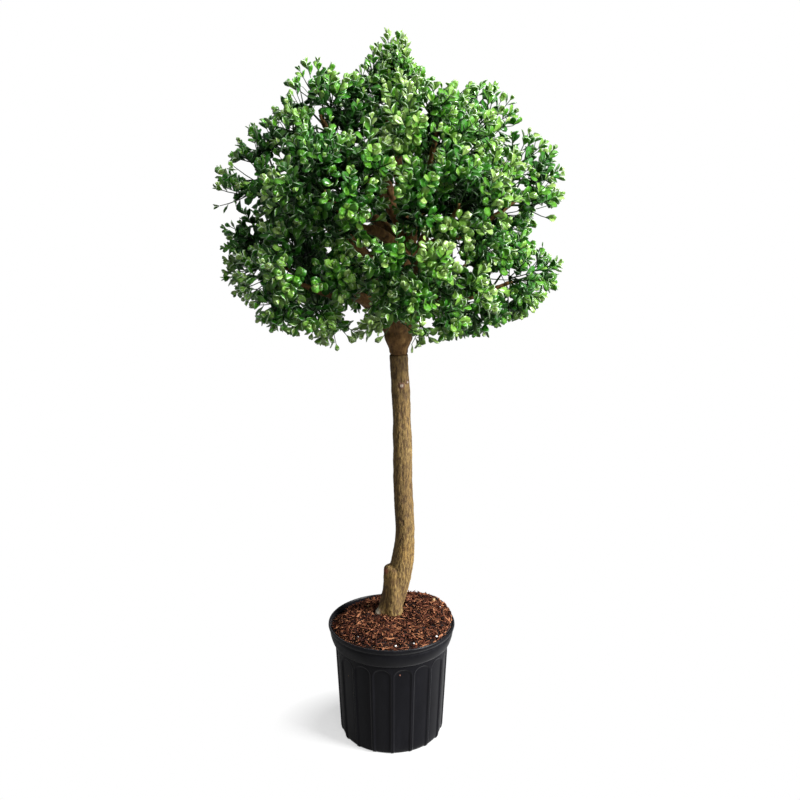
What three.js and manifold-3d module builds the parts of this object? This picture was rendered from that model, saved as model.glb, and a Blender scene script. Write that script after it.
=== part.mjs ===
// A standard topiary: a loose ball of small spoon-shaped evergreen leaves on a bare stem that bends a little,
// set in a fluted black nursery pot under a heap of shredded bark.
// Millimetres, +Z up. The origin is the middle of the pot's flat underside.
import * as THREE from "three";
import { mergeVertices } from "three/addons/utils/BufferGeometryUtils.js";
import Module from "manifold-3d";

const wasm = await Module();
wasm.setup();

// Driving dimensions

const CLEARANCE = 0.35; // kept between any two pieces
const STEM_GAP = 0.45; // from a bough's cut end to the stem that goes on from it

const POT = {
  height: 265,
  rimRadius: 140,
  footRadius: 114,
  neckRadius: 124.5, // of the wall under the rim band
  bandHeight: 47, // from the neck to the rim
  wall: 2.4,
  floor: 4,
  footRise: 14,
  flutes: 17,
  fluteDepth: 2.2,
  ridge: 0.08, // where a flute's ridge ends and its hollow begins, as parts of the pitch
  hollow: 0.19,
  turn: 17, // degrees from +X to the first ridge
  archRise: 9,
};

const MIX_TOP = 232;
const BARK = { edge: 257, dome: 28, bank: 20, bankAzimuth: 45, roughness: 2.4, rings: 4, segments: 20 };

// The trunk from its flat cut on the potting mix up to the fork, as x, y and height of its middle and its radius
const TRUNK_FOOT = MIX_TOP + CLEARANCE;
const TRUNK_TOP = 873;
const TRUNK_LINE = [
  [-16, 12, TRUNK_FOOT, 29],
  [-2, 10, 298, 25],
  [9, 8, 338, 27],
  [18, 6, 376, 26],
  [25, 5, 412, 24.6],
  [29, 3, 470, 20.8],
  [25, 1, 590, 20.6],
  [24, 0, 680, 20.2],
  [22, 0, 755, 18.7],
  [16, 0, TRUNK_TOP, 19.2],
];
const TRUNK = { sides: 16, steps: 14, ribs: 5, ribDepth: 0.025 };

// Side stem cut back long ago, and the one root that shows above the bark
const STUB = { foot: [-3, 2, 262], bend: [-2, 0, 332], top: [-4, -3, 402], radius: 21, endRadius: 11.5 };
const ROOT = { foot: [-37, -3, 295], bend: [-24, 0, 287], top: [-8, 4, 287], radius: 6, endRadius: 14 };

const FORK = { foot: TRUNK_TOP + CLEARANCE, top: 930, x: 16, y: 0, sides: 16 };
const FORK_PROFILE = [
  [FORK.foot, 19],
  [884, 19.4],
  [895, 24],
  [904, 29],
  [916, 30],
  [924, 26],
  [FORK.top, 20.5],
];
const LEADER = { bend: [36, -4, 1080], top: [2, 0], radius: 19.5, endRadius: 10, sides: 12, steps: 8 };

// The crown's tiers of foliage masses. Azimuths are in degrees, with 0 along +X. A tier's masses stand on a
// ring whose middle is shifted along +X, and the tilt lifts them towards -X. Lengths are in millimetres.
const TIERS = [
  { name: "top", masses: 1, height: 1390, ring: 0, first: 0, step: 0, shift: -4, tilt: 0, reach: 120 },
  { name: "upper", masses: 4, height: 1306, ring: 135, first: 25, step: 90, shift: 16, tilt: 0.1, reach: 158 },
  { name: "middle", masses: 6, height: 1200, ring: 192, first: 0, step: 60, shift: 4, tilt: 0.1, reach: 176 },
  { name: "lower", masses: 6, height: 1068, ring: 200, first: 346, step: 60, shift: -2, tilt: 0.05, reach: 172 },
];
const HEART = [4, 0, 1145]; // the masses face away from this point
const ENTRY = 0.62; // how far short of a mass's middle its bough ends, as a share of its reach

// Boughs by tier, springing from the leader or the fork at two heights in turn
const BOUGHS = {
  upper: { heights: [1078, 1110], radius: 13, endRadius: 8.5, arch: 0.1 },
  middle: { heights: [958, 1050], radius: 15, endRadius: 9.5, arch: 0.12 },
  lower: { heights: [899, 911], radius: 15.5, endRadius: 9.5, arch: 0.14 },
};
const BOUGH_SIDES = 7;
const BOUGH_STEPS = 4;

// Growth rule of one mass. Lengths are shares of the mass's reach, radii are in millimetres.
const STEM = { length: 0.32, curl: 0.4, radius: 5, endRadius: 3.6, sides: 5, steps: 2 };
const TWIG = { length: 0.67, firstAngle: 6, lastAngle: 114, jitter: 12, radius: 3.4, endRadius: 2.4, sides: 3 };
const TWIGS_PER_REACH = 0.049;
const TURN = 137.5; // degrees from each twig to the next
const PAIRS = [0.9]; // where leaf pairs stand along a twig
const LEAF = { length: 0.5, width: 0.66, widest: 0.62, thickness: 0.05, cup: 0.1, lean: 56, tipLean: 4 };
const LEAF_SIZES = [1, 0.85, 0.7, 0.55]; // a leaf with no room at one size is tried at the next
const TIP_REACH = 0.985; // how far the leaf at a twig's end comes
const CORE = { reach: 0.57, lumps: 0.15, room: 0.84 };
const FIRST_SEED = 48271;
const SEED_STEP = 16807;

// Small helpers

const { degToRad, lerp } = THREE.MathUtils;
const vector = (numbers) => new THREE.Vector3(...numbers);

// Repeatable numbers from 0 to 1
function seededNumbers(seed) {
  let state = seed;
  return () => {
    state = (state * 16807) % 2147483647;
    return state / 2147483647;
  };
}

// Curve from one point to another that passes through a third halfway
function curveThrough(start, middle, end) {
  const bend = middle.clone().multiplyScalar(2).sub(start.clone().lerp(end, 0.5));
  return new THREE.QuadraticBezierCurve3(start, bend, end);
}

// Point at a given height on a curve that only climbs
function atHeight(curve, height) {
  let low = 0;
  let high = 1;
  for (let i = 0; i < 40; i++) {
    const middle = (low + high) / 2;
    if (curve.getPoint(middle).z < height) low = middle;
    else high = middle;
  }
  return curve.getPoint(low).setZ(height);
}

// Two directions square to a given one
function squareTo(way) {
  const helper = Math.abs(way.z) < 0.9 ? new THREE.Vector3(0, 0, 1) : new THREE.Vector3(1, 0, 0);
  const first = helper.cross(way).normalize();
  return [first, way.clone().cross(first)];
}

// Closed skin over rings of equally many points, each ring counter-clockwise about the way the rings run.
// A fan round the end ring's middle closes each end.
function skin(rings) {
  const count = rings[0].length;
  const middle = (ring) => ring.reduce((sum, p) => sum.add(p), new THREE.Vector3()).divideScalar(count);
  const points = [...rings.flat(), middle(rings[0]), middle(rings.at(-1))];
  const last = (rings.length - 1) * count;
  const faces = [];
  for (let j = 0; j < count; j++) {
    const next = (j + 1) % count;
    for (let i = 0; i + 1 < rings.length; i++) {
      const low = i * count;
      const high = low + count;
      faces.push(low + j, low + next, high + next, low + j, high + next, high + j);
    }
    faces.push(points.length - 2, next, j, points.length - 1, last + j, last + next);
  }
  return new THREE.BufferGeometry().setFromPoints(points).setIndex(faces);
}

function levelRing(centre, radiusAt, sides) {
  return Array.from({ length: sides }, (_, j) => {
    const angle = (2 * Math.PI * j) / sides;
    const radius = radiusAt(angle);
    return new THREE.Vector3(centre.x + radius * Math.cos(angle), centre.y + radius * Math.sin(angle), centre.z);
  });
}

// Tapering round limb along a curve. grow makes it larger all over, to cut its neighbours clear of it.
function limb(curve, radius, endRadius, sides, steps, grow = 0) {
  const frames = curve.computeFrenetFrames(steps, false);
  const rings = [];
  for (let i = 0; i <= steps; i++) {
    const outward = i === 0 ? -grow : i === steps ? grow : 0;
    const centre = curve.getPointAt(i / steps).addScaledVector(frames.tangents[i], outward);
    const size = lerp(radius, endRadius, i / steps) + grow;
    rings.push(
      Array.from({ length: sides }, (_, j) => {
        const angle = (2 * Math.PI * j) / sides;
        return centre
          .clone()
          .addScaledVector(frames.normals[i], size * Math.cos(angle))
          .addScaledVector(frames.binormals[i], size * Math.sin(angle));
      }),
    );
  }
  return skin(rings);
}

// Upright piece from level rings, given as middles and functions of the angle for the radius
function upright(levels, sides, grow) {
  const rings = levels.map(([centre, radiusAt]) => levelRing(centre, (angle) => radiusAt(angle) + grow, sides));
  for (const point of rings[0]) point.z -= grow;
  for (const point of rings.at(-1)) point.z += grow;
  return skin(rings);
}

function positionsOnly(geometry) {
  geometry.deleteAttribute("normal");
  geometry.deleteAttribute("uv");
  return mergeVertices(geometry, 1e-4);
}

function solidOf(geometry) {
  const merged = positionsOnly(geometry);
  return new wasm.Manifold(
    new wasm.Mesh({
      numProp: 3,
      vertProperties: new Float32Array(merged.attributes.position.array),
      triVerts: new Uint32Array(merged.index.array),
    }),
  );
}

function geometryOf(solid) {
  const mesh = solid.getMesh();
  const positions = new Float32Array(mesh.numVert * 3);
  for (let i = 0; i < mesh.numVert; i++) {
    positions.set(mesh.vertProperties.subarray(i * mesh.numProp, i * mesh.numProp + 3), i * 3);
  }
  const geometry = new THREE.BufferGeometry();
  geometry.setAttribute("position", new THREE.BufferAttribute(positions, 3));
  geometry.setIndex(new THREE.BufferAttribute(new Uint32Array(mesh.triVerts), 1));
  return geometry;
}

const joined = (solids) => solids.reduce((sum, solid) => sum.add(solid));

// The largest piece of a solid, without the scraps that a cut left
const largest = (solid) => solid.decompose().sort((a, b) => b.volume() - a.volume())[0];

// Pot

const NECK = POT.height - POT.bandHeight;

// Radius of the outer wall at a height, along the ridges
const wallRadius = (height) => lerp(POT.footRadius, POT.neckRadius, height / NECK);
const boreUnder = (height) => wallRadius(height) - POT.fluteDepth - POT.wall;

// Inner face from the rim down to the floor, as heights and radii
const BORE = [
  [POT.height, POT.rimRadius - 4.6],
  [NECK + 6, POT.neckRadius + 1.5],
  [NECK - POT.archRise, boreUnder(NECK - POT.archRise)],
  [POT.floor, boreUnder(POT.floor)],
];

// How near the middle of the inner face's widest flat comes, against its corners
const FLAT_SHARE = Math.cos(((1 - 2 * POT.hollow) * Math.PI) / POT.flutes);

function potGeometry() {
  // Places within one flute, each with 1 in the hollow and 0 on the ridge
  const places = [
    [-POT.ridge, 0],
    [POT.ridge, 0],
    [POT.hollow, 1],
    [1 - POT.hollow, 1],
  ];
  const ring = (heightAt, radiusAt) => {
    const points = [];
    for (let flute = 0; flute < POT.flutes; flute++) {
      for (const [share, hollow] of places) {
        const angle = degToRad(POT.turn) + (2 * Math.PI * (flute + share)) / POT.flutes;
        const radius = radiusAt(hollow);
        points.push(new THREE.Vector3(radius * Math.cos(angle), radius * Math.sin(angle), heightAt(hollow)));
      }
    }
    return points;
  };
  const plain = (height, radius) => ring(() => height, () => radius);
  const fluted = (heightAt) => ring(heightAt, (hollow) => wallRadius(heightAt(0)) - hollow * POT.fluteDepth);
  const archFoot = (hollow) => NECK - POT.archRise * (1.6 - hollow);
  const archHead = (hollow) => NECK - POT.archRise * (1.2 - hollow);
  return skin([
    plain(0, POT.footRadius - 7),
    fluted(() => POT.footRise),
    fluted(archFoot),
    ring(archHead, () => POT.neckRadius),
    plain(NECK + 8, POT.neckRadius + 7),
    plain(NECK + 22, POT.neckRadius + 12),
    plain(POT.height - 9, POT.rimRadius - 2.5),
    plain(POT.height - 7, POT.rimRadius),
    plain(POT.height, POT.rimRadius - 0.6),
    ...BORE.map(([height, radius]) => plain(height, radius)),
  ]);
}

// Radius inside the pot at a height, as far as the potting mix and the bark may reach
function roomInPot(height) {
  const low = BORE.findIndex(([level]) => level <= height);
  const [highLevel, highRadius] = BORE[low - 1];
  const [lowLevel, lowRadius] = BORE[low];
  const share = (height - lowLevel) / (highLevel - lowLevel);
  return lerp(lowRadius, highRadius, share) * FLAT_SHARE - CLEARANCE;
}

const roomRing = (height) =>
  levelRing(new THREE.Vector3(0, 0, height), () => roomInPot(height), BARK.segments);

function mixGeometry() {
  return skin([POT.floor + CLEARANCE, NECK - POT.archRise, NECK + 6, MIX_TOP].map(roomRing));
}

// Height of the heaped bark: a dome, banked up against the pot on one side
function barkHeight(x, y) {
  const share = Math.min(1, Math.hypot(x, y) / POT.rimRadius);
  const towardsBank = (1 + Math.cos(Math.atan2(y, x) - degToRad(BARK.bankAzimuth))) / 2;
  return BARK.edge + BARK.dome * (1 - share ** 4) + BARK.bank * share * towardsBank ** 4;
}

function barkSolid(trunkSpace) {
  const random = seededNumbers(FIRST_SEED);
  const rings = [roomRing(MIX_TOP + CLEARANCE)];
  const edge = roomInPot(BARK.edge - BARK.roughness);
  for (let i = BARK.rings; i > 0; i--) {
    const ring = levelRing(new THREE.Vector3(), () => (edge * i) / BARK.rings, BARK.segments);
    for (const point of ring) point.z = barkHeight(point.x, point.y) + BARK.roughness * (2 * random() - 1);
    rings.push(ring);
  }
  return largest(solidOf(skin(rings)).subtract(trunkSpace));
}

// Trunk, fork and leader

const trunkCurve = new THREE.CatmullRomCurve3(TRUNK_LINE.map(([x, y, z]) => new THREE.Vector3(x, y, z)));

function trunkRadius(height) {
  const high = TRUNK_LINE.findIndex(([, , level], i) => i > 0 && level >= height);
  const [, , from, fromRadius] = TRUNK_LINE[high - 1];
  const [, , to, toRadius] = TRUNK_LINE[high];
  return lerp(fromRadius, toRadius, (height - from) / (to - from));
}

function trunkSolid(grow = 0) {
  const levels = [];
  for (let i = 0; i <= TRUNK.steps; i++) {
    const share = (i / TRUNK.steps) ** 1.3;
    const height = lerp(TRUNK_FOOT, TRUNK_TOP, share);
    const radius = trunkRadius(height);
    const ribbed = (angle) => radius * (1 + TRUNK.ribDepth * Math.cos(TRUNK.ribs * angle + 2 * share));
    levels.push([atHeight(trunkCurve, height), ribbed]);
  }
  const sideStem = ({ foot, bend, top, radius, endRadius }, sides, steps) =>
    solidOf(limb(curveThrough(vector(foot), vector(bend), vector(top)), radius, endRadius, sides, steps, grow));
  return joined([solidOf(upright(levels, TRUNK.sides, grow)), sideStem(STUB, 12, 7), sideStem(ROOT, 8, 3)]);
}

const forkPoint = (height) => new THREE.Vector3(FORK.x, FORK.y, height);

function forkSolid(grow = 0) {
  const levels = FORK_PROFILE.map(([height, radius]) => [forkPoint(height), () => radius]);
  return solidOf(upright(levels, FORK.sides, grow));
}

const leaderTop = TIERS[0].height - ENTRY * TIERS[0].reach;
const leaderCurve = curveThrough(
  forkPoint(FORK.top + CLEARANCE),
  vector(LEADER.bend),
  new THREE.Vector3(...LEADER.top, leaderTop),
);

function leaderSolid(grow = 0) {
  const levels = Array.from({ length: LEADER.steps + 1 }, (_, i) => {
    const share = i / LEADER.steps;
    return [leaderCurve.getPoint(share), () => lerp(LEADER.radius, LEADER.endRadius, share)];
  });
  return solidOf(upright(levels, LEADER.sides, grow));
}

// Crown layout

// One entry for each mass, with its middle, its reach and the way it faces
function layOutMasses() {
  const masses = [];
  for (const tier of TIERS) {
    for (let i = 0; i < tier.masses; i++) {
      const azimuth = degToRad(tier.first + i * tier.step);
      const x = tier.shift + tier.ring * Math.cos(azimuth);
      const centre = new THREE.Vector3(x, tier.ring * Math.sin(azimuth), tier.height - tier.tilt * x);
      masses.push({
        tier: tier.name,
        name: tier.masses > 1 ? `${tier.name}_${i + 1}` : tier.name,
        index: masses.length,
        reach: tier.reach,
        centre,
        facing: centre.clone().sub(vector(HEART)).normalize(),
      });
    }
  }
  return masses;
}

const masses = layOutMasses();

// The flat border between two masses' spaces, as a direction from the first and how far along it the border lies
function borderWith(mass, other) {
  const way = other.centre.clone().sub(mass.centre);
  const apart = way.length();
  const at = (apart ** 2 + mass.reach ** 2 - other.reach ** 2) / (2 * apart);
  return { way: way.divideScalar(apart), at: at - CLEARANCE };
}

for (const mass of masses) {
  mass.borders = masses.filter((other) => other !== mass).map((other) => borderWith(mass, other));
}

function inSpace(mass, point) {
  const arm = point.clone().sub(mass.centre);
  return arm.length() < mass.reach && mass.borders.every((border) => arm.dot(border.way) < border.at);
}

// How far a mass's space goes from its middle in a direction
function roomAlong(mass, direction) {
  let room = mass.reach;
  for (const border of mass.borders) {
    const closing = direction.dot(border.way);
    if (closing > 1e-6) room = Math.min(room, border.at / closing);
  }
  return room;
}

// Boughs

// Middle of the leader at a height, or of the fork below it
const springPoint = (height) => (height > FORK.top ? atHeight(leaderCurve, height) : forkPoint(height));

function boughCurve(mass) {
  const { heights, arch } = BOUGHS[mass.tier];
  const start = springPoint(heights[mass.index % 2]);
  const back = start.clone().sub(mass.centre).normalize();
  const end = mass.centre.clone().addScaledVector(back, ENTRY * mass.reach);
  const middle = start.clone().lerp(end, 0.5);
  middle.z += arch * start.distanceTo(end);
  return curveThrough(start, middle, end);
}

function boughSolid(mass, grow = 0) {
  const { radius, endRadius } = BOUGHS[mass.tier];
  return solidOf(limb(mass.bough, radius, endRadius, BOUGH_SIDES, BOUGH_STEPS, grow));
}

// Foliage

// Where a mass's stem starts, and which way: on from the cut end of its bough or of the leader
function stemStart(mass) {
  const parent = mass.bough ?? leaderCurve;
  const way = parent.getTangent(1);
  return { start: parent.getPoint(1).addScaledVector(way, STEM_GAP), way };
}

// The stem and twigs of a mass. Each twig leaves the stem a fixed turn from the last, leans out further,
// and ends a set share of the way to the border of the mass's space.
function growMass(mass) {
  const random = seededNumbers(FIRST_SEED + mass.index * SEED_STEP);
  random();
  const { start, way } = stemStart(mass);
  const stemEnd = mass.centre.clone().addScaledVector(mass.facing, STEM.length * mass.reach);
  const bend = start.clone().addScaledVector(way, STEM.curl * start.distanceTo(stemEnd));
  const stem = new THREE.QuadraticBezierCurve3(start, bend, stemEnd);
  const [across, up] = squareTo(mass.facing);
  const count = Math.round(TWIGS_PER_REACH * mass.reach);
  const phase = 360 * random();
  const twigs = [];
  for (let i = 0; i < count; i++) {
    const share = i / (count - 1);
    const polar = degToRad(lerp(TWIG.firstAngle, TWIG.lastAngle, share) + TWIG.jitter * (random() - 0.5));
    const around = degToRad(phase + i * TURN + 2 * TWIG.jitter * (random() - 0.5));
    const direction = mass.facing
      .clone()
      .multiplyScalar(Math.cos(polar))
      .addScaledVector(across, Math.sin(polar) * Math.cos(around))
      .addScaledVector(up, Math.sin(polar) * Math.sin(around));
    const foot = stem.getPoint(lerp(0.97, 0.5, share));
    const room = roomAlong(mass, direction);
    const end = mass.centre.clone().addScaledVector(direction, TWIG.length * room);
    const tipLeaf = (TIP_REACH - TWIG.length) * room;
    twigs.push({ curve: new THREE.LineCurve3(foot, end), phase: 90 * random(), tipLeaf });
  }
  return { stem, twigs };
}

// Leaf with eight faces: a cupped kite, its root at the origin, its tip along +X and its upper side facing +Z.
// The root lies at the middle of its twig, so it is sunk in by the twig's radius.
function leafGeometry(length) {
  const geometry = new THREE.OctahedronGeometry(1);
  const position = geometry.getAttribute("position");
  const half = (LEAF.width * length) / 2;
  for (let i = 0; i < position.count; i++) {
    const [x, y, z] = [position.getX(i), position.getY(i), position.getZ(i)];
    const along = x > 0.5 ? length : x < -0.5 ? 0 : LEAF.widest * length;
    const belly = Math.abs(z) > 0.5 ? (Math.sign(z) * LEAF.thickness) / 2 - LEAF.cup : 0;
    position.setXYZ(i, along, y * half, belly * length);
  }
  return geometry;
}

// Where the leaves of a twig stand: opposite pairs, each pair a quarter turn from the last, and one at the tip
function leafPlaces(twig, reach) {
  const places = [];
  const put = (share, side, lean, length) => {
    const tangent = twig.curve.getTangent(share);
    const direction = tangent.clone().multiplyScalar(Math.cos(lean)).addScaledVector(side, Math.sin(lean));
    const face = tangent.clone().addScaledVector(direction, -tangent.dot(direction)).normalize();
    const frame = new THREE.Matrix4().makeBasis(direction, face.clone().cross(direction), face);
    places.push({ length, frame: frame.setPosition(twig.curve.getPoint(share)) });
  };
  PAIRS.forEach((share, pair) => {
    const [across, up] = squareTo(twig.curve.getTangent(share));
    const angle = degToRad(twig.phase + 90 * pair);
    const side = across.multiplyScalar(Math.cos(angle)).addScaledVector(up, Math.sin(angle));
    put(share, side, degToRad(LEAF.lean), LEAF.length * reach);
    put(share, side.clone().negate(), degToRad(LEAF.lean), LEAF.length * reach);
  });
  put(0.98, squareTo(twig.curve.getTangent(0.98))[0], degToRad(LEAF.tipLean), twig.tipLeaf);
  return places;
}

// Lumpy core that the leaves stand out of, kept inside the mass's space
function coreGeometry(mass, random) {
  const geometry = positionsOnly(new THREE.IcosahedronGeometry(1, 1));
  const position = geometry.getAttribute("position");
  for (let i = 0; i < position.count; i++) {
    const direction = new THREE.Vector3().fromBufferAttribute(position, i).normalize();
    const lump = 1 + CORE.lumps * (2 * random() - 1);
    const size = Math.min(CORE.reach * mass.reach * lump, CORE.room * roomAlong(mass, direction));
    direction.multiplyScalar(size).add(mass.centre);
    position.setXYZ(i, direction.x, direction.y, direction.z);
  }
  return geometry;
}

// The largest leaf that keeps to the mass's space at a place
function leafFor(mass, place) {
  const corner = new THREE.Vector3();
  return LEAF_SIZES.map((size) => leafGeometry(size * place.length).applyMatrix4(place.frame)).find((leaf) => {
    const position = leaf.getAttribute("position");
    for (let i = 0; i < position.count; i++) {
      if (!inSpace(mass, corner.fromBufferAttribute(position, i))) return false;
    }
    return true;
  });
}

// Stem, core, twigs and leaves fused. A twig or leaf that would touch a limb is left out, and so is a leaf
// that would cross another.
function massSolid(mass, limbSpace) {
  const random = seededNumbers(2 * FIRST_SEED + mass.index * SEED_STEP);
  const { stem, twigs } = growMass(mass);
  const touches = (solid, other) => !solid.intersect(other).isEmpty();
  const wood = [solidOf(limb(stem, STEM.radius, STEM.endRadius, STEM.sides, STEM.steps))];
  const leaves = [];
  for (const twig of twigs) {
    const rod = solidOf(limb(twig.curve, TWIG.radius, TWIG.endRadius, TWIG.sides, 1));
    if (touches(rod, limbSpace)) continue;
    wood.push(rod);
    for (const place of leafPlaces(twig, mass.reach)) {
      const shape = leafFor(mass, place);
      const leaf = shape && solidOf(shape);
      if (!leaf || touches(leaf, limbSpace) || leaves.some((other) => touches(leaf, other))) continue;
      leaves.push(leaf);
    }
  }
  return largest(joined([solidOf(coreGeometry(mass, random)), ...wood, ...leaves]).subtract(limbSpace));
}

// Materials

const material = (color, roughness) => new THREE.MeshStandardMaterial({ color, roughness, metalness: 0 });
const potPlastic = material(0x1c1d20, 0.45);
const pottingMix = material(0x4a3a2c, 0.95);
const barkChips = material(0x54301f, 0.9);
const trunkBark = material(0x7d6a45, 0.85);
const limbBark = material(0x5b3d22, 0.85);
const leafGreen = material(0x3f7a2c, 0.35);

// Assembly

const topiary = new THREE.Group();

function addPiece(group, name, shape, finish) {
  const geometry = shape.isBufferGeometry ? shape : geometryOf(shape);
  const mesh = new THREE.Mesh(geometry, finish);
  mesh.name = name;
  group.add(mesh);
}

const potGroup = new THREE.Group();
topiary.add(potGroup);
addPiece(potGroup, "pot", potGeometry(), potPlastic);
addPiece(potGroup, "potting_mix", mixGeometry(), pottingMix);
addPiece(potGroup, "bark_mulch", barkSolid(trunkSolid(CLEARANCE)), barkChips);

// The slab takes off what the side stem and the root have below the trunk's flat cut
const limbGroup = new THREE.Group();
topiary.add(limbGroup);
const belowFoot = solidOf(new THREE.BoxGeometry(400, 400, 200).translate(0, 0, TRUNK_FOOT - 100));
addPiece(limbGroup, "trunk", trunkSolid().subtract(belowFoot), trunkBark);
addPiece(limbGroup, "fork", forkSolid(), limbBark);
addPiece(limbGroup, "leader", leaderSolid(), limbBark);

// Each bough is cut clear of every limb before it, and the masses of all the limbs
let limbSpace = joined([trunkSolid(CLEARANCE), forkSolid(CLEARANCE), leaderSolid(CLEARANCE)]);
for (const mass of masses.filter((one) => one.tier in BOUGHS)) {
  mass.bough = boughCurve(mass);
  addPiece(limbGroup, `bough_${mass.name}`, largest(boughSolid(mass).subtract(limbSpace)), limbBark);
  limbSpace = limbSpace.add(boughSolid(mass, CLEARANCE));
}

const crown = new THREE.Group();
topiary.add(crown);
for (const mass of masses) addPiece(crown, `foliage_${mass.name}`, massSolid(mass, limbSpace), leafGreen);

export default topiary;
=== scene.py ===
import math

import bpy
import numpy as np
from mathutils import Matrix, Vector, noise
from mathutils.kdtree import KDTree


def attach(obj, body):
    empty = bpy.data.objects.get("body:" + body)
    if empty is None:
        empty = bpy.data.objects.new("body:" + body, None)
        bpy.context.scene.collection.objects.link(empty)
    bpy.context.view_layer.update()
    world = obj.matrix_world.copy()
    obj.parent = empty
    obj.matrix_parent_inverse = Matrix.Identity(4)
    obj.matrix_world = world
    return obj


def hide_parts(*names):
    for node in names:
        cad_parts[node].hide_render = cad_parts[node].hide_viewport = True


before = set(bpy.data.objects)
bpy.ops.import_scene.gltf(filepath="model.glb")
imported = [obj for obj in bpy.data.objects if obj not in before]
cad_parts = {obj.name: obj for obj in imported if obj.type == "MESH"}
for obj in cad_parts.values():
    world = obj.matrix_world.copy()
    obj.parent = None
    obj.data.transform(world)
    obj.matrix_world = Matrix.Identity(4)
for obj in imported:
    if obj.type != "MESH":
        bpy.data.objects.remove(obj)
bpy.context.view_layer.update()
bpy.ops.object.select_all(action="DESELECT")

# Sizes of the pot and what fills it

POT_HEIGHT = 0.265
RIM_RADIUS = 0.140
FOOT_RADIUS = 0.114
NECK_RADIUS = 0.1245
NECK_HEIGHT = 0.218
FLUTES = 17
FLUTE_DEPTH = 0.0022
FIRST_RIDGE = math.radians(17.0)
RIB_SHARE = 0.11  # of a flute's pitch, between two panels
COLUMNS_PER_FLUTE = 32
BEAD = {"height": 0.00080, "outside": 0.0006, "width": 0.0011}  # the fine bead round each panel
PANEL = {"arch": 0.92, "below_neck": 0.007, "slope": 0.0036, "fade": 0.004}
BARK_EDGE = 0.257
BARK_DOME = 0.028
BARK_BANK = 0.020
BANK_AZIMUTH = math.radians(45)
BARK_DIP = 0.0200  # along the rim at the back left, below the solid's heap
DIP_AZIMUTH = math.radians(140)

# Heights and radii of the pot's outline: its foot, its band with the rolled rim, and its inside
POT_FOOT = [(0.0, FOOT_RADIUS - 0.007), (0.0008, FOOT_RADIUS - 0.0045), (0.003, FOOT_RADIUS - 0.0022),
            (0.007, FOOT_RADIUS - 0.0006)]
ARCH_FOOT = NECK_HEIGHT - 0.034  # where the panels' arches start
POT_BAND = [(0.2195, 0.1268), (0.2215, 0.1290), (0.225, 0.1308), (0.231, 0.1330), (0.238, 0.1350),
            (0.245, 0.1362), (0.2485, 0.1360), (0.2505, 0.1352), (0.2525, 0.1356), (0.2545, 0.1376),
            (0.2575, 0.1393), (0.2605, 0.1400), (0.2632, 0.1398), (0.2647, 0.1390), (POT_HEIGHT, 0.1376),
            (0.2646, 0.1364), (0.2630, 0.1356), (0.260, 0.1352)]
POT_INSIDE = [(0.252, 0.1340), (0.240, 0.1318), (0.228, 0.1280), (0.218, 0.1222), (0.205, 0.1190),
              (0.10, 0.1142), (0.004, 0.1094)]

# The fines, and the splinters, flakes and crumbs strewn over them
BED = {"edge": 0.1335, "foot": 0.110, "underside": 0.2325, "sunk": 0.0035, "lump": 0.0022, "waves": 160}
CHIPS = {"count": 5600, "seed": 77003, "spread": 0.1340, "wall": 0.1352, "splinters": 0.76, "flakes": 0.62,
         "lengths": (0.0075, 0.021), "power": 1.8, "shortened": (1, 0.72, 0.38), "widths": (0.78, 0.55, 1),
         "tilt": math.radians(62), "roll": math.radians(110), "depth": 0.0045, "raised": 0.35}
TRUNK_IN_HEAP = {"x": -0.008, "y": 0.011, "radius": 0.0235}  # no chip lies here
CHIP_BROWNS = [(0.022, 0.006, 0.004), (0.054, 0.015, 0.008), (0.100, 0.031, 0.015), (0.150, 0.053, 0.026),
               (0.009, 0.003, 0.002), (0.290, 0.122, 0.058)]
SPECKS = {"seed": 9127, "raised": 0.0046}
GRAINS = [  # on the bark: x, y, size, and 0 for perlite or 1 for a pale chip
    (0.0095, -0.127, 0.0056, 0), (0.048, -0.117, 0.0042, 0), (0.097, -0.085, 0.0058, 0),
    (-0.071, -0.092, 0.0022, 0), (0.108, 0.020, 0.0024, 0), (0.095, 0.048, 0.0095, 1),
    (-0.052, 0.030, 0.0055, 1),
]
DUST = [  # on the pot's wall: x, height, size, and 1 for tan or 2 for brown
    (0.0184, 0.1973, 0.0042, 2), (-0.0937, 0.171, 0.0017, 1), (-0.083, 0.134, 0.0014, 1),
    (-0.080, 0.118, 0.0012, 1),
]

# The trunk as x, y, height of its middle and its radius, from its flat cut to the joint under the fork
TRUNK_FOOT = 0.23235
TRUNK_TOP = 0.873
TRUNK_LINE = np.array([
    [-0.016, 0.012, TRUNK_FOOT, 0.029],
    [-0.002, 0.010, 0.298, 0.025],
    [0.009, 0.008, 0.338, 0.027],
    [0.018, 0.006, 0.376, 0.026],
    [0.025, 0.005, 0.412, 0.0246],
    [0.029, 0.003, 0.470, 0.0208],
    [0.025, 0.001, 0.590, 0.0206],
    [0.024, 0.000, 0.680, 0.0202],
    [0.022, 0.000, 0.755, 0.0187],
    [0.016, 0.000, TRUNK_TOP, 0.0192],
])
STUB = {"foot": (-0.003, 0.002, 0.262), "bend": (-0.002, 0, 0.332), "top": (-0.0025, -0.003, 0.4015),
        "radius": 0.021, "end_radius": 0.0130}
ROOT = {"foot": (-0.036, -0.005, 0.2885), "bend": (-0.025, -0.004, 0.289), "top": (-0.008, 0.002, 0.296),
        "radius": 0.0048, "end_radius": 0.0175}
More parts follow.
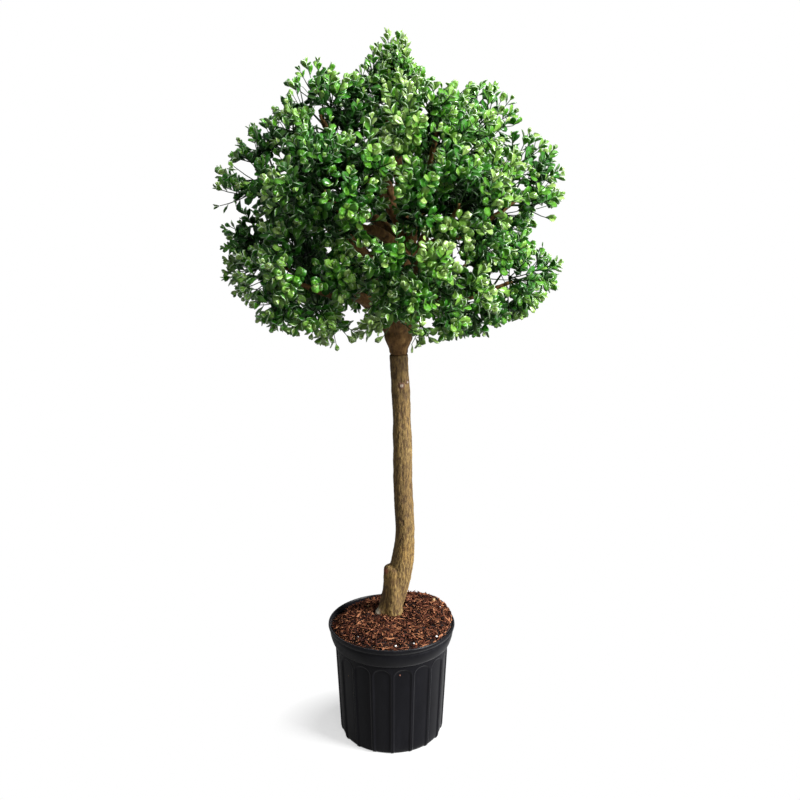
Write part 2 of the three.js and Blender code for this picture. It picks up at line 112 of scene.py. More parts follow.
# The swelling that joins the side stem to the trunk
SHOULDER = {"foot": (0.004, 0.000, 0.262), "bend": (0.005, -0.005, 0.334), "top": (0.007, -0.005, 0.399),
            "radius": 0.022, "end_radius": 0.014}
KNOTS = [((0.0225, -0.0190, 0.810), 0.0048), ((0.0350, -0.0110, 0.816), 0.0034)]  # places and sizes
CUT_SCAR = (-0.0120, -0.0115, 0.3895)  # on the side stem's rounded end
RELIEF = {"rib": 0.0006, "furrow": 0.00075, "swell": 0.0014, "pit": 0.0011, "knot": 0.0016,
          "knot_ring": 0.0009}
PIT_FROM = 0.30  # the noise above which the bark is pitted
FLAT_END = 0.006  # the relief fades out this far from a flat cut

# Fork and leader
CLEARANCE = 0.00035
FORK_X = 0.016
FORK_TOP = 0.930
FORK_PROFILE = [
    (TRUNK_TOP + CLEARANCE, 0.0190),
    (0.884, 0.0194),
    (0.895, 0.0240),
    (0.904, 0.0290),
    (0.916, 0.0300),
    (0.924, 0.0260),
    (FORK_TOP, 0.0205),
]
LEADER_BEND = Vector((0.036, -0.004, 1.080))
LEADER_TOP = (0.002, 0.0)
LEADER_RADII = (0.0195, 0.010)
LIMB_RELIEF = {"knots": 0.0011, "wrinkle": 0.00025}
GROOVE = {"depth": 0.09, "height": 0.004}  # the joint above the trunk, its depth as a share of the radius

# The crown's tiers of foliage masses, as in the solids: azimuths in degrees, lengths in metres
TIERS = [
    {"name": "top", "masses": 1, "height": 1.390, "ring": 0.0, "first": 0, "step": 0, "shift": -0.004,
     "tilt": 0, "reach": 0.120},
    {"name": "upper", "masses": 4, "height": 1.306, "ring": 0.135, "first": 25, "step": 90, "shift": 0.016,
     "tilt": 0.1, "reach": 0.158},
    {"name": "middle", "masses": 6, "height": 1.200, "ring": 0.192, "first": 0, "step": 60, "shift": 0.004,
     "tilt": 0.1, "reach": 0.176},
    {"name": "lower", "masses": 6, "height": 1.068, "ring": 0.200, "first": 346, "step": 60, "shift": -0.002,
     "tilt": 0.05, "reach": 0.172},
]
HEART = Vector((0.004, 0, 1.145))
ENTRY = 0.62
BOUGHS = {
    "upper": {"heights": (1.078, 1.110), "radii": (0.013, 0.0085), "arch": 0.1},
    "middle": {"heights": (0.958, 1.050), "radii": (0.015, 0.0095), "arch": 0.12},
    "lower": {"heights": (0.899, 0.911), "radii": (0.0155, 0.0095), "arch": 0.14},
}
STEM_GAP = 0.00045

# The growth rule's first twigs, as in the solids: lengths are shares of the mass's reach or of its room
STEM = {"length": 0.32, "curl": 0.4}
TWIG = {"length": 0.67, "first": 6, "last": 114, "jitter": 12}
TWIGS_PER_METRE = 49
TURN = 137.5
FIRST_SEED = 48271
SEED_STEP = 16807

# What the rule is carried on to: sprays of shoots, and pairs of leaves on each shoot
SPRAYS_PER_METRE = 88  # of a mass's reach
SPRAY = {"first": 4, "last": 125, "jitter": 0.12, "depth": 0.078, "vigour": 0.88, "least_room": 0.50,
         "lift": 0.22, "low_lift": 0.3}
SHOOTS_PER_SPRAY = 7
SHOOT = {"fan": 34, "fans": (0.72, 1.28), "middle_fan": 0.08, "turn": 34, "lengths": (0.80, 1.06),
         "least": 0.022, "reach": 0.99, "lift": 0.10, "bare": 0.20, "shortened_by": 0.008}
SLACK = (0.95, 1.03)  # how far a shoot may reach, as a share of the crown's outline
INNER_SHOOTS = {"count": 3, "along": (0.35, 0.85), "length": 0.046, "lean": 66, "bare": 0.1, "slack": 0.97}
INTERNODE = 0.0102
LEAF_LENGTH = 0.0248
LEAF_LEAN = (70, 32)  # degrees from the shoot, at its foot and near its tip
TIP_LEAN = 20
LEAF_JITTER = {"turn": 14, "lean": 16, "size": (0.88, 1.12)}
LEAF_SIZES = {"foot": 0.82, "near_tip": 0.86, "tip": 0.55}  # along the shoot, as shares of the full length
YOUNG = {"from": 0.78, "share": 0.62, "paler": 0.3}  # pale young leaves towards a shoot's tip

# The leaves' greens from the darkest to the palest, what adds to a leaf's score, and the scores at which the
# next green starts. Leaves deep inside the crown get darker greens as painted shade. Sprays at the right, the
# top and the middle of the front get paler greens as painted light.
LEAF_GREENS = [(0.004, 0.026, 0.001), (0.010, 0.072, 0.003), (0.026, 0.145, 0.007), (0.068, 0.235, 0.012),
               (0.145, 0.312, 0.036), (0.240, 0.390, 0.085)]
RIM_PAINTED_HIGHLIGHT = (0.68, 0.79, 0.64)  # a painted highlight: what the greens are mixed with along a leaf's rim
RIM_HIGHLIGHT_SHARES = (0.10, 0.62)  # how much of it, from the darkest green to the palest
SCORES = {"outward": 0.60, "along": 0.56, "spray": 0.40, "own": 0.30, "right": 0.11, "top": 0.06,
          "front": 0.16}
SCORE_STEPS = (0.46, 0.66, 0.86, 1.06, 1.26)
# The crown's middle and half sizes, from which a leaf's depth inside the crown is measured for its painted
# shade
CROWN_MIDDLE = Vector((0.004, 0, 1.19))
CROWN_HALVES = (0.36, 0.35, 0.30)
PAINTED_LIGHT_REACH = {"right": 0.28, "top": 0.12, "front": 0.16}  # over which these are added: paler greens at the right, at the top and at the middle of the front, as painted light
ROOT_REACH = {"leaf": 0.0035, "shoot": 0.004, "stalk": 0.005}  # how near a root lies to what carries it
SHAPE_DRAW = 997  # makes the pick of a leaf's shape of its own draw

# How far the crown spreads at each height: to the left (-X) and to the right (+X) of its middle
CROWN_OUTLINE = np.array([
    [0.880, 0.06, 0.06],
    [0.905, 0.16, 0.15],
    [0.925, 0.25, 0.21],
    [0.966, 0.325, 0.270],
    [1.008, 0.360, 0.345],
    [1.120, 0.370, 0.370],
    [1.180, 0.370, 0.370],
    [1.230, 0.366, 0.358],
    [1.268, 0.352, 0.342],
    [1.320, 0.292, 0.322],
    [1.388, 0.222, 0.278],
    [1.408, 0.210, 0.240],
    [1.430, 0.198, 0.195],
    [1.440, 0.196, 0.060],
    [1.455, 0.194, 0.038],
    [1.474, 0.190, 0.034],
    [1.484, 0.042, 0.035],
    [1.513, 0.040, 0.034],
])
# Gaps through the crown along the line of sight: x and height where each crosses the plant's middle plane,
# and its radius there
SKY_GAPS = [
    (-0.082, 1.462, 0.030),
    (-0.052, 1.474, 0.014),
    (-0.178, 1.388, 0.017),
    (0.110, 1.436, 0.022),
    (0.150, 1.432, 0.018),
    (-0.165, 1.408, 0.012),
    (-0.333, 1.193, 0.022),
    (-0.296, 1.187, 0.012),
    (-0.288, 1.252, 0.023),
    (0.140, 1.412, 0.013),
    (0.345, 1.160, 0.021),
    (0.304, 1.162, 0.021),
    (0.245, 1.168, 0.016),
    (0.218, 1.028, 0.020),
    (0.207, 1.158, 0.014),
    (0.241, 1.022, 0.016),
    (0.163, 0.987, 0.011),
    (0.293, 1.061, 0.011),
    (0.316, 1.094, 0.011),
    (0.012, 0.905, 0.036),
    (-0.203, 1.050, 0.016),
    (-0.273, 1.016, 0.015),
    (-0.051, 0.984, 0.011),
    (-0.104, 0.908, 0.018),
    (-0.083, 0.925, 0.010),
    (0.076, 0.890, 0.016),
    (-0.255, 0.975, 0.014),
    (-0.151, 0.958, 0.012),
]
# Where a bough shows between the front leaves: as above, but the leaves behind the middle plane stay
BOUGH_WINDOWS = [(-0.036, 1.136, 0.021), (-0.004, 1.114, 0.020)]
SKY_SPECKS = {"count": 235, "seed": 60271, "heights": (0.96, 1.47), "power": 0.6, "spread": 0.95,
              "radii": (0.0062, 0.0115), "from_leader": 0.05}
STEM_RADII = (0.0088, 0.0042)
STALKS = {  # radii at the foot and the tip, stretches along it, and sides round it
    "twig": {"radii": (0.0024, 0.0017), "steps": 5, "sides": 5},
    "stalk": {"radii": (0.0017, 0.0013), "steps": 4, "sides": 5},
    "shoot": {"radii": (0.0013, 0.0007), "steps": 3, "sides": 4},
}

# The camera and the light
CAMERA_PLACE = (0.0188, -2.261, 1.406)
CAMERA_PITCH = math.radians(15.61)
LENS = 50.3
FLOOR_GLOW = 0.58  # the paper looks lit from below, so that shadows on it stay faint
PAPER = (0.27, 0.27, 0.27)
BOUNCE = (0.15, 0.15, 0.15)  # the paper as the plant meets it, so that the plant's underside stays dark
SHADE_MIDDLE = (0, 0.01, 0)
SHADE_REACH = (0.30, 0.20, 1.0)  # the paper is plain white beyond this far from there, along x and y
AMBIENT = 0.08
SHEEN = 0.26  # how bright the room looks in glossy leaves and plastic
SUNS = [  # name, the way to the lamp, how wide it looks in degrees, strength
    ("key", (1.7, -0.80, 1.25), 22, 6.6),
    ("side", (1.6, -0.75, 0.15), 50, 3.1),
    ("front", (0.35, -1.3, 0.8), 20, 0.70),
    ("top", (0.1, -0.2, 1.5), 40, 2.4),
]


# Small helpers

def seeded_numbers(seed):
    """Repeatable numbers from 0 to 1."""
    state = seed
    while True:
        state = state * 16807 % 2147483647
        yield state / 2147483647


def mix(a, b, share):
    return a + (b - a) * share


def smooth_step(values):
    values = np.clip(values, 0, 1)
    return values * values * (3 - 2 * values)


def curve_through(start, middle, end):
    """Quadratic curve that passes through middle halfway, as its three control points."""
    return start, middle * 2 - (start + end) / 2, end


def on_curve(curve, share):
    start, bend, end = curve
    return start * (1 - share) ** 2 + bend * (2 * share * (1 - share)) + end * share ** 2


def way_of(curve, share):
    start, bend, end = curve
    return ((bend - start) * (1 - share) + (end - bend) * share).normalized()


def at_height(curve, height):
    """Point at a height on a curve that only climbs."""
    low, high = 0.0, 1.0
    for _ in range(40):
        middle = (low + high) / 2
        if on_curve(curve, middle).z < height:
            low = middle
        else:
            high = middle
    point = on_curve(curve, low)
    return Vector((point.x, point.y, height))


def along_curve(curve, radii, count):
    """Points along a curve and the radii there."""
    shares = np.linspace(0, 1, count)
    return [on_curve(curve, share) for share in shares], [mix(*radii, share) for share in shares]


def square_to(way):
    """Two directions square to a given one."""
    helper = Vector((0, 0, 1)) if abs(way.z) < 0.9 else Vector((1, 0, 0))
    first = helper.cross(way).normalized()
    return first, way.cross(first)


def fan_out(way, polar, around):
    """Direction at an angle from a given one, turned round it."""
    across, up = square_to(way)
    side = across * math.cos(around) + up * math.sin(around)
    return way * math.cos(polar) + side * math.sin(polar)


# Meshes

def joined_piece(name, parts, materials, smooth=True):
    """One mesh of many small closed parts. Each is given by its points, its faces and its faces' material."""
    firsts = np.cumsum([0] + [len(points) for points, _, _ in parts])
    finishes = [np.broadcast_to(finish, len(faces)) for _, faces, finish in parts]
    mesh = bpy.data.meshes.new(name)
    mesh.from_pydata(np.concatenate([points for points, _, _ in parts]), [],
                     np.concatenate([faces + first for (_, faces, _), first in zip(parts, firsts)]))
    for one in materials:
        mesh.materials.append(one)
    mesh.polygons.foreach_set("material_index", np.concatenate(finishes).astype(np.int32))
    mesh.polygons.foreach_set("use_smooth", np.full(len(mesh.polygons), smooth))
    mesh.update()
    piece = bpy.data.objects.new(name, mesh)
    bpy.context.scene.collection.objects.link(piece)
    return piece


def points_of(piece):
    points = np.empty(len(piece.data.vertices) * 3)
    piece.data.vertices.foreach_get("co", points)
    return points.reshape(-1, 3)


def move_points(piece, points):
    piece.data.vertices.foreach_set("co", points.astype(np.float32).ravel())
    piece.data.update()


def normals_of(piece):
    normals = np.empty(len(piece.data.vertices) * 3)
    piece.data.vertex_normals.foreach_get("vector", normals)
    return normals.reshape(-1, 3)


def add_modifier(piece, kind, **settings):
    """Adds a modifier and applies it."""
    bpy.ops.object.select_all(action="DESELECT")
    piece.select_set(True)
    bpy.context.view_layer.objects.active = piece
    modifier = piece.modifiers.new(kind.title(), kind)
    for key, value in settings.items():
        setattr(modifier, key, value)
    bpy.ops.object.modifier_apply(modifier=modifier.name)


def tapered_limb(points, radii, roundness=6):
    """A round limb through points, with a flat cut at each end."""
    bpy.ops.curve.primitive_nurbs_path_add()
    limb = bpy.context.active_object
    curve = limb.data
    curve.splines.clear()
    curve.dimensions = "3D"
    curve.bevel_depth = 1
    curve.bevel_resolution = roundness
    curve.use_fill_caps = True
    spline = curve.splines.new("POLY")
    spline.points.add(len(points) - 1)
    for knot, point, radius in zip(spline.points, points, radii):
        knot.co = (*point, 1)
        knot.radius = radius
    bpy.ops.object.convert(target="MESH")
    return bpy.context.active_object


def grown_together(name, limbs, voxel, smoothing):
    """Joins limbs into one skin that flows from one into the next."""
    bpy.ops.object.select_all(action="DESELECT")
    for limb in limbs:
        limb.select_set(True)
    bpy.context.view_layer.objects.active = limbs[0]
    bpy.ops.object.join()
    piece = bpy.context.active_object
    piece.name = name
    piece.data.name = name
    add_modifier(piece, "REMESH", mode="VOXEL", voxel_size=voxel, use_smooth_shade=True)
    add_modifier(piece, "SMOOTH", factor=0.5, iterations=smoothing)
    return piece


def finish_piece(piece, nodes=(), finish=None):
    """Gives the piece its finish, rides it on the one body, and hides the solids it stands for."""
    if finish:
        piece.data.materials.clear()
        piece.data.materials.append(finish)
    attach(piece, "root")
    if nodes:
        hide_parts(*nodes)


# Materials

def material(name):
    made = bpy.data.materials.new(name)
    made.use_nodes = True
    return made, made.node_tree, made.node_tree.nodes["Principled BSDF"]


def set_inputs(node, settings):
    for name, value in settings.items():
        node.inputs[name].default_value = value


def add_node(tree, kind, settings=None):
    node = tree.nodes.new(f"ShaderNode{kind}")
    set_inputs(node, settings or {})
    return node


def plain_material(name, colour, roughness, coat=0.0, specular=0.5):
    """One base colour all over, for small pieces whose colours are dealt out one by one."""
    made, _, surface = material(name)
    set_inputs(surface, {"Base Color": (*colour, 1), "Roughness": roughness, "Specular IOR Level": specular,
                         "Coat Weight": coat, "Coat Roughness": 0.14})
    return made


def plain_materials(name, colours, roughness, coats, speculars):
    """A plain material for each colour, with its coat and its specular level going from the first value given
    to the last."""
    shares = np.linspace(0, 1, len(colours))
    return [plain_material(f"{name}_{i + 1}", colour, roughness, mix(*coats, share), mix(*speculars, share))
            for i, (colour, share) in enumerate(zip(colours, shares))]


def own_places(tree, settings):
    """The piece's own coordinates, scaled and shifted."""
    place = add_node(tree, "TexCoord")
    mapping = add_node(tree, "Mapping", settings)
    tree.links.new(place.outputs["Object"], mapping.inputs["Vector"])
    return mapping.outputs["Vector"]


def noise_on(tree, scale, stretch, detail, roughness):
    """Noise read on the piece's own coordinates, drawn out upwards by a stretch below one."""
    texture = add_node(tree, "TexNoise", {"Scale": scale, "Detail": detail, "Roughness": roughness})
    tree.links.new(own_places(tree, {"Scale": (1, 1, stretch)}), texture.inputs["Vector"])
    return texture.outputs["Fac"]


def ramp_on(tree, value, stops):
    ramp = add_node(tree, "ValToRGB")
    elements = ramp.color_ramp.elements
    while len(elements) < len(stops):
        elements.new(0.5)
    for element, (position, colour) in zip(elements, stops):
        element.position = position
        element.color = (*colour, 1)
    tree.links.new(value, ramp.inputs["Fac"])
    return ramp.outputs["Color"]


def blend_colours(tree, share, first, second, mode="MIX"):
    node = add_node(tree, "Mix")
    node.data_type = "RGBA"
    node.blend_type = mode
    for socket, value in (("Factor", share), ("A", first), ("B", second)):
        target = next(one for one in node.inputs if one.name == socket and one.enabled)
        if isinstance(value, bpy.types.NodeSocket):
            tree.links.new(value, target)
        else:
            target.default_value = value
    return next(one for one in node.outputs if one.enabled)


def mix_shaders(tree, share, first, second):
    """The first shader where the share is nought and the second where it is one."""
    node = add_node(tree, "MixShader")
    for socket, value in zip(node.inputs, (share, first, second)):
        tree.links.new(value, socket)
    return node.outputs["Shader"]


def bump_on(tree, surface, value, strength, distance):
    bump = add_node(tree, "Bump", {"Strength": strength, "Distance": distance})
    tree.links.new(value, bump.inputs["Height"])
    tree.links.new(bump.outputs["Normal"], surface.inputs["Normal"])


def spot_on(tree, place, radii):
    """One inside a ball or an egg about a place, fading to nought at its edge."""
    ball = add_node(tree, "TexGradient")
    ball.gradient_type = "SPHERICAL"
    within = own_places(tree, {"Scale": tuple(1 / r for r in radii),
                               "Location": tuple(-c / r for c, r in zip(place, radii))})
    tree.links.new(within, ball.inputs["Vector"])
    return ramp_on(tree, ball.outputs["Fac"], [(0.10, (0, 0, 0)), (0.45, (1, 1, 1))])


def trunk_bark_material():
    made, tree, surface = material("olive_tan_bark")
    grain = noise_on(tree, 430, 0.27, 6, 0.68)
    patches = noise_on(tree, 26, 0.5, 3, 0.5)
    specks = noise_on(tree, 520, 0.36, 2, 0.5)
    furrows = add_node(tree, "Attribute")
    furrows.attribute_name = "furrow_depth"
    wood = ramp_on(tree, grain, [(0.28, (0.076, 0.042, 0.012)), (0.46, (0.158, 0.098, 0.030)),
                                 (0.60, (0.228, 0.154, 0.053)), (0.78, (0.35, 0.262, 0.112))])
    # painted shade: darker in the furrows and pits, lighter on the ribs
    shade = ramp_on(tree, furrows.outputs["Fac"], [(0.20, (1.18, 1.14, 1.07)), (0.48, (0.95, 0.95, 0.93)),
                                                   (0.80, (0.50, 0.42, 0.35))])
    tint = ramp_on(tree, patches, [(0.35, (0.78, 0.73, 0.66)), (0.52, (1.0, 1.0, 0.95)),
                                   (0.70, (1.13, 1.06, 0.87))])
    toned = blend_colours(tree, 1.0, wood, tint, "MULTIPLY")
    shaded = blend_colours(tree, 1.0, toned, shade, "MULTIPLY")
    speck_mask = ramp_on(tree, specks, [(0.30, (1, 1, 1)), (0.35, (0, 0, 0))])
    bark = blend_colours(tree, speck_mask, shaded, (0.030, 0.014, 0.006, 1))
    spots = [(CUT_SCAR, 0.0085, (0.20, 0.070, 0.028)), (ROOT["foot"], 0.018, (0.25, 0.22, 0.165))]
    for place, size in KNOTS:
        spots += [(place, 2.0 * size, (0.13, 0.060, 0.030)), (place, 0.95 * size, (0.33, 0.27, 0.21))]
    for place, radius, colour in spots:
        bark = blend_colours(tree, spot_on(tree, place, (radius,) * 3), bark, (*colour, 1))
    tree.links.new(bark, surface.inputs["Base Color"])
    set_inputs(surface, {"Roughness": 0.80})
    bump_on(tree, surface, grain, 0.6, 0.0009)
    return made


def limb_bark_material():
    made, tree, surface = material("orange_brown_moulded_bark")
    grain = noise_on(tree, 120, 0.5, 5, 0.6)
    patches = noise_on(tree, 22, 1, 2, 0.5)
    wood = ramp_on(tree, grain, [(0.30, (0.055, 0.028, 0.010)), (0.50, (0.185, 0.102, 0.037)),
                                 (0.72, (0.31, 0.185, 0.070))])
    tint = ramp_on(tree, patches, [(0.35, (0.72, 0.66, 0.6)), (0.65, (1.12, 1.1, 1.0))])
    tree.links.new(blend_colours(tree, 1.0, wood, tint, "MULTIPLY"), surface.inputs["Base Color"])
    set_inputs(surface, {"Roughness": 0.7, "Specular IOR Level": 0.2})
    bump_on(tree, surface, grain, 0.45, 0.0010)
    return made


def pot_material():
    made, tree, surface = material("black_pot_plastic")
    scuffs = noise_on(tree, 34, 0.35, 5, 0.62)
    colour = ramp_on(tree, scuffs, [(0.35, (0.0018, 0.0018, 0.0030)), (0.62, (0.0028, 0.0028, 0.0044)),
                                    (0.80, (0.0065, 0.0065, 0.0090))])
    gloss = ramp_on(tree, scuffs, [(0.30, (0.28, 0.28, 0.28)), (0.75, (0.44, 0.44, 0.44))])
    set_inputs(surface, {"Specular IOR Level": 0.17, "Sheen Weight": 0.09, "Sheen Roughness": 0.45})
    tree.links.new(colour, surface.inputs["Base Color"])
    tree.links.new(gloss, surface.inputs["Roughness"])
    bump_on(tree, surface, noise_on(tree, 420, 1, 2, 0.5), 0.10, 0.0004)
    return made


def bark_bed_material():
    made, tree, surface = material("dark_fines_and_painted_gap_shade")
    crumbs = noise_on(tree, 230, 1, 5, 0.7)
    # nearly black: the fines' own dark brown, darkened further as painted shade in the gaps between the chips
    colour = ramp_on(tree, crumbs, [(0.36, (0.002, 0.0008, 0.0005)), (0.58, (0.009, 0.003, 0.0015)),
                                    (0.78, (0.040, 0.014, 0.007))])
    tree.links.new(colour, surface.inputs["Base Color"])
    set_inputs(surface, {"Roughness": 0.95})
    bump_on(tree, surface, crumbs, 0.9, 0.003)
    return made


# Pot

def wall_radius(height):
    return mix(FOOT_RADIUS, NECK_RADIUS, height / NECK_HEIGHT)


def pot_levels():
    """The pot's whole outline, from its flat underside out, up, over the lip and down inside."""
    wall_heights = np.concatenate([np.linspace(0.014, ARCH_FOOT, 14),
                                   np.linspace(ARCH_FOOT + 0.002, NECK_HEIGHT, 17)])
    return POT_FOOT + [(height, wall_radius(height)) for height in wall_heights] + POT_BAND + POT_INSIDE


def panel_depth(angles, heights):
    """How far the arched panels between the ribs are pressed in, at each angle and height. The bead round a
    panel stands out."""
    pitch = 2 * math.pi / FLUTES
    radius = mix(FOOT_RADIUS, NECK_RADIUS, 0.7)
    place = np.mod(angles - FIRST_RIDGE, pitch) / pitch - 0.5
    across = np.abs(place) * pitch * radius
    half = (1 - RIB_SHARE) * pitch * radius / 2
    arch_radius = half * PANEL["arch"]
    arch_centre = NECK_HEIGHT - PANEL["below_neck"] - arch_radius
    up = np.maximum(heights - arch_centre, 0)
    beyond = np.hypot(np.maximum(across - (half - arch_radius), 0), up)
    inside = np.where(up > 0, arch_radius - beyond, half - across)
    fade = smooth_step((NECK_HEIGHT - heights) / PANEL["fade"])
    bead = BEAD["height"] * np.exp(-((inside + BEAD["outside"]) / BEAD["width"]) ** 2)
    return (FLUTE_DEPTH * smooth_step(inside / PANEL["slope"]) - bead) * fade


def make_pot(finish):
    columns = FLUTES * COLUMNS_PER_FLUTE
    levels = pot_levels()
    height, radius = levels[0]
    bpy.ops.mesh.primitive_circle_add(vertices=columns, radius=radius, fill_type="TRIFAN",
                                      location=(0, 0, height))
    pot = bpy.context.active_object
    pot.name = pot.data.name = "fluted_pot"
    bpy.ops.object.mode_set(mode="EDIT")
    bpy.ops.mesh.select_all(action="DESELECT")
    bpy.ops.mesh.select_non_manifold()
    for next_height, next_radius in levels[1:]:
        bpy.ops.mesh.extrude_region_move(TRANSFORM_OT_translate={"value": (0, 0, next_height - height)})
        share = next_radius / radius
        bpy.ops.transform.resize(value=(share, share, 1), center_override=(0, 0, next_height))
        height, radius = next_height, next_radius
    bpy.ops.mesh.fill_grid(span=columns // 4)
    bpy.ops.mesh.select_all(action="SELECT")
    bpy.ops.mesh.normals_make_consistent(inside=False)
    bpy.ops.object.mode_set(mode="OBJECT")
    bpy.ops.object.transform_apply(location=True, rotation=True, scale=True)
    points = points_of(pot)
    radii = np.hypot(points[:, 0], points[:, 1])
    angles = np.arctan2(points[:, 1], points[:, 0])
    # The wall is pressed in with its inner skin. The underside, the inside's floor and the band stay round.
    in_wall = (radii > FOOT_RADIUS - 0.0046) & (points[:, 2] < NECK_HEIGHT)
    in_wall &= radii > wall_radius(points[:, 2]) - 0.0062
    pressed = np.where(in_wall, panel_depth(angles, points[:, 2]), 0)
    points[:, :2] *= ((radii - pressed) / np.maximum(radii, 1e-6))[:, None]
    move_points(pot, points)
    bpy.ops.object.shade_smooth_by_angle(angle=math.radians(50))
    finish_piece(pot, ["pot"], finish)


# Bark heap

def bark_height(x, y):
    """The heap's top: a dome, banked up at the back right and lower along the rim at the back left."""
    share = min(1.0, math.hypot(x, y) / RIM_RADIUS)
    azimuth = math.atan2(y, x)
    towards_bank = (1 + math.cos(azimuth - BANK_AZIMUTH)) / 2
    towards_dip = (1 + math.cos(azimuth - DIP_AZIMUTH)) / 2
    return (BARK_EDGE + BARK_DOME * (1 - share ** 4) + BARK_BANK * share * towards_bank ** 4
            - BARK_DIP * share ** 3 * towards_dip ** 2)


def make_bark_bed(finish):
    """The fine crumbs that show between the chips, as a lumpy dome closed underneath. Its nearly black colour
    is partly the fines' own dark brown and partly painted shade in the gaps between the chips.
    """
    bpy.ops.mesh.primitive_uv_sphere_add(segments=96, ring_count=64, radius=1, location=(0, 0, 0))
    bed = bpy.context.active_object
    bed.name = bed.data.name = "dark_fines_and_painted_gap_shade"
    points = points_of(bed)
    for i, (x, y, z) in enumerate(points):
        around = math.atan2(y, x)
        share = math.hypot(x, y)
        if z >= -1e-6:
            radius = BED["edge"] * (2 / math.pi) * math.asin(min(1.0, share))
            px, py = radius * math.cos(around), radius * math.sin(around)
            lump = BED["lump"] * noise.fractal(Vector((px, py, 0)) * BED["waves"], 0.9, 2.0, 3)
            points[i] = (px, py, bark_height(px, py) - BED["sunk"] + lump)
        else:
            radius = mix(BED["foot"], BED["edge"] - 0.003, share ** 3)
            points[i] = (radius * share * math.cos(around), radius * share * math.sin(around),
                         mix(BED["underside"], BARK_EDGE - 0.006, share ** 6))
    move_points(bed, points)
    bpy.ops.object.shade_smooth()
    finish_piece(bed, ["bark_mulch"], finish)


def chip_shapes():
    """A splinter, a flake and a crumb, each with its length along X and about one unit in size."""
    splinter = np.array([[-0.5, 0, 0], [-0.28, 0.09, 0.05], [-0.25, -0.10, 0.02], [-0.26, 0, -0.08],
                         [0.22, 0.11, 0.01], [0.26, -0.08, 0.06], [0.20, 0.01, -0.09], [0.5, 0.02, 0.02]])
    splinter_faces = [(0, 2, 1), (0, 3, 2), (0, 1, 3), (1, 2, 5), (1, 5, 4), (2, 3, 6), (2, 6, 5), (3, 1, 4),
                      (3, 4, 6), (4, 5, 7), (5, 6, 7), (6, 4, 7)]
    ring = [(-0.5, 0.04), (-0.24, 0.24), (0.12, 0.27), (0.46, 0.13), (0.5, -0.12), (0.14, -0.26),
            (-0.30, -0.20)]
    flake = np.array([(x, y, 0.04 + 0.10 * x * x) for x, y in ring]
                     + [(0.93 * x, 0.9 * y, -0.05 + 0.08 * x * x) for x, y in ring])
    n = len(ring)
    flake_faces = [(0, i + 1, i) for i in range(1, n - 1)] + [(n, n + i, n + i + 1) for i in range(1, n - 1)]
    for i in range(n):
        j = (i + 1) % n
        flake_faces += [(i, j, n + j), (i, n + j, n + i)]
    crumb = np.array([[-0.4, -0.30, -0.25], [0.42, -0.34, -0.2], [0.36, 0.3, -0.28], [-0.45, 0.32, -0.2],
                      [-0.3, -0.24, 0.26], [0.3, -0.3, 0.2], [0.38, 0.24, 0.27], [-0.36, 0.2, 0.22]])
    crumb_faces = [(0, 2, 1), (0, 3, 2), (4, 5, 6), (4, 6, 7), (0, 1, 5), (0, 5, 4), (1, 2, 6), (1, 6, 5),
                   (2, 3, 7), (2, 7, 6), (3, 0, 4), (3, 4, 7)]
    return [(splinter, np.array(splinter_faces)), (flake, np.array(flake_faces)),
            (crumb, np.array(crumb_faces))]


def make_bark_chips(finishes):
    random = seeded_numbers(CHIPS["seed"])
    shapes = chip_shapes()
    parts = []
    for _ in range(CHIPS["count"]):
        radius = CHIPS["spread"] * math.sqrt(next(random))
        around = 2 * math.pi * next(random)
        x, y = radius * math.cos(around), radius * math.sin(around)
        kind = 0 if next(random) < CHIPS["splinters"] else 1 if next(random) < CHIPS["flakes"] else 2
        length = mix(*CHIPS["lengths"], next(random) ** CHIPS["power"]) * CHIPS["shortened"][kind]
        room = CHIPS["wall"] - radius
        tilt = CHIPS["tilt"] * (next(random) - 0.5) * (1 if room > 0.01 else 0.5)
        roll = CHIPS["roll"] * (next(random) - 0.5)
        yaw = 2 * math.pi * next(random)
        if room < length / 2:
            yaw = around + math.pi / 2
        turn = (Matrix.Rotation(yaw, 3, "Z") @ Matrix.Rotation(tilt, 3, "Y") @ Matrix.Rotation(roll, 3, "X"))
        points, faces = shapes[kind]
        width = CHIPS["widths"][kind] * mix(0.7, 1.3, next(random))
        scaled = points * np.array([1, width, width]) * length
        height = bark_height(x, y) + CHIPS["depth"] * (next(random) - CHIPS["raised"])
        if math.hypot(x - TRUNK_IN_HEAP["x"], y - TRUNK_IN_HEAP["y"]) >= TRUNK_IN_HEAP["radius"]:
            placed = scaled @ np.array(turn).T + np.array([x, y, height])
            parts.append((placed, faces, int(len(finishes) * next(random))))
    finish_piece(joined_piece("bark_chips", parts, finishes, smooth=False))


def pot_wall_place(x, z):
    """A place on the front of the pot's pressed-in panels."""
    radius = wall_radius(z) - FLUTE_DEPTH
    return x, -math.sqrt(radius ** 2 - x ** 2), z


def make_specks(finishes):
    """Grains of perlite near the rim, two pale chips, and a crumb and dust on the pot's wall."""
    random = seeded_numbers(SPECKS["seed"])
    places = [((x, y, bark_height(x, y) + SPECKS["raised"]), size, finish) for x, y, size, finish in GRAINS]
    places += [(pot_wall_place(x, z), size, finish) for x, z, size, finish in DUST]
    grain, faces = chip_shapes()[2]
    parts = []
    for place, size, finish in places:
        turn = Matrix.Rotation(6.28 * next(random), 3, "Z") @ Matrix.Rotation(next(random), 3, "X")
        parts.append((grain * size @ np.array(turn).T + np.array(place), faces, finish))
    finish_piece(joined_piece("grains_and_dust", parts, finishes))


def make_potting_mix(finish):
    """The mix under the bark keeps its solid."""
    mix_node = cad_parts["potting_mix"]
    mix_node.data.materials.clear()
    mix_node.data.materials.append(finish)


# Trunk

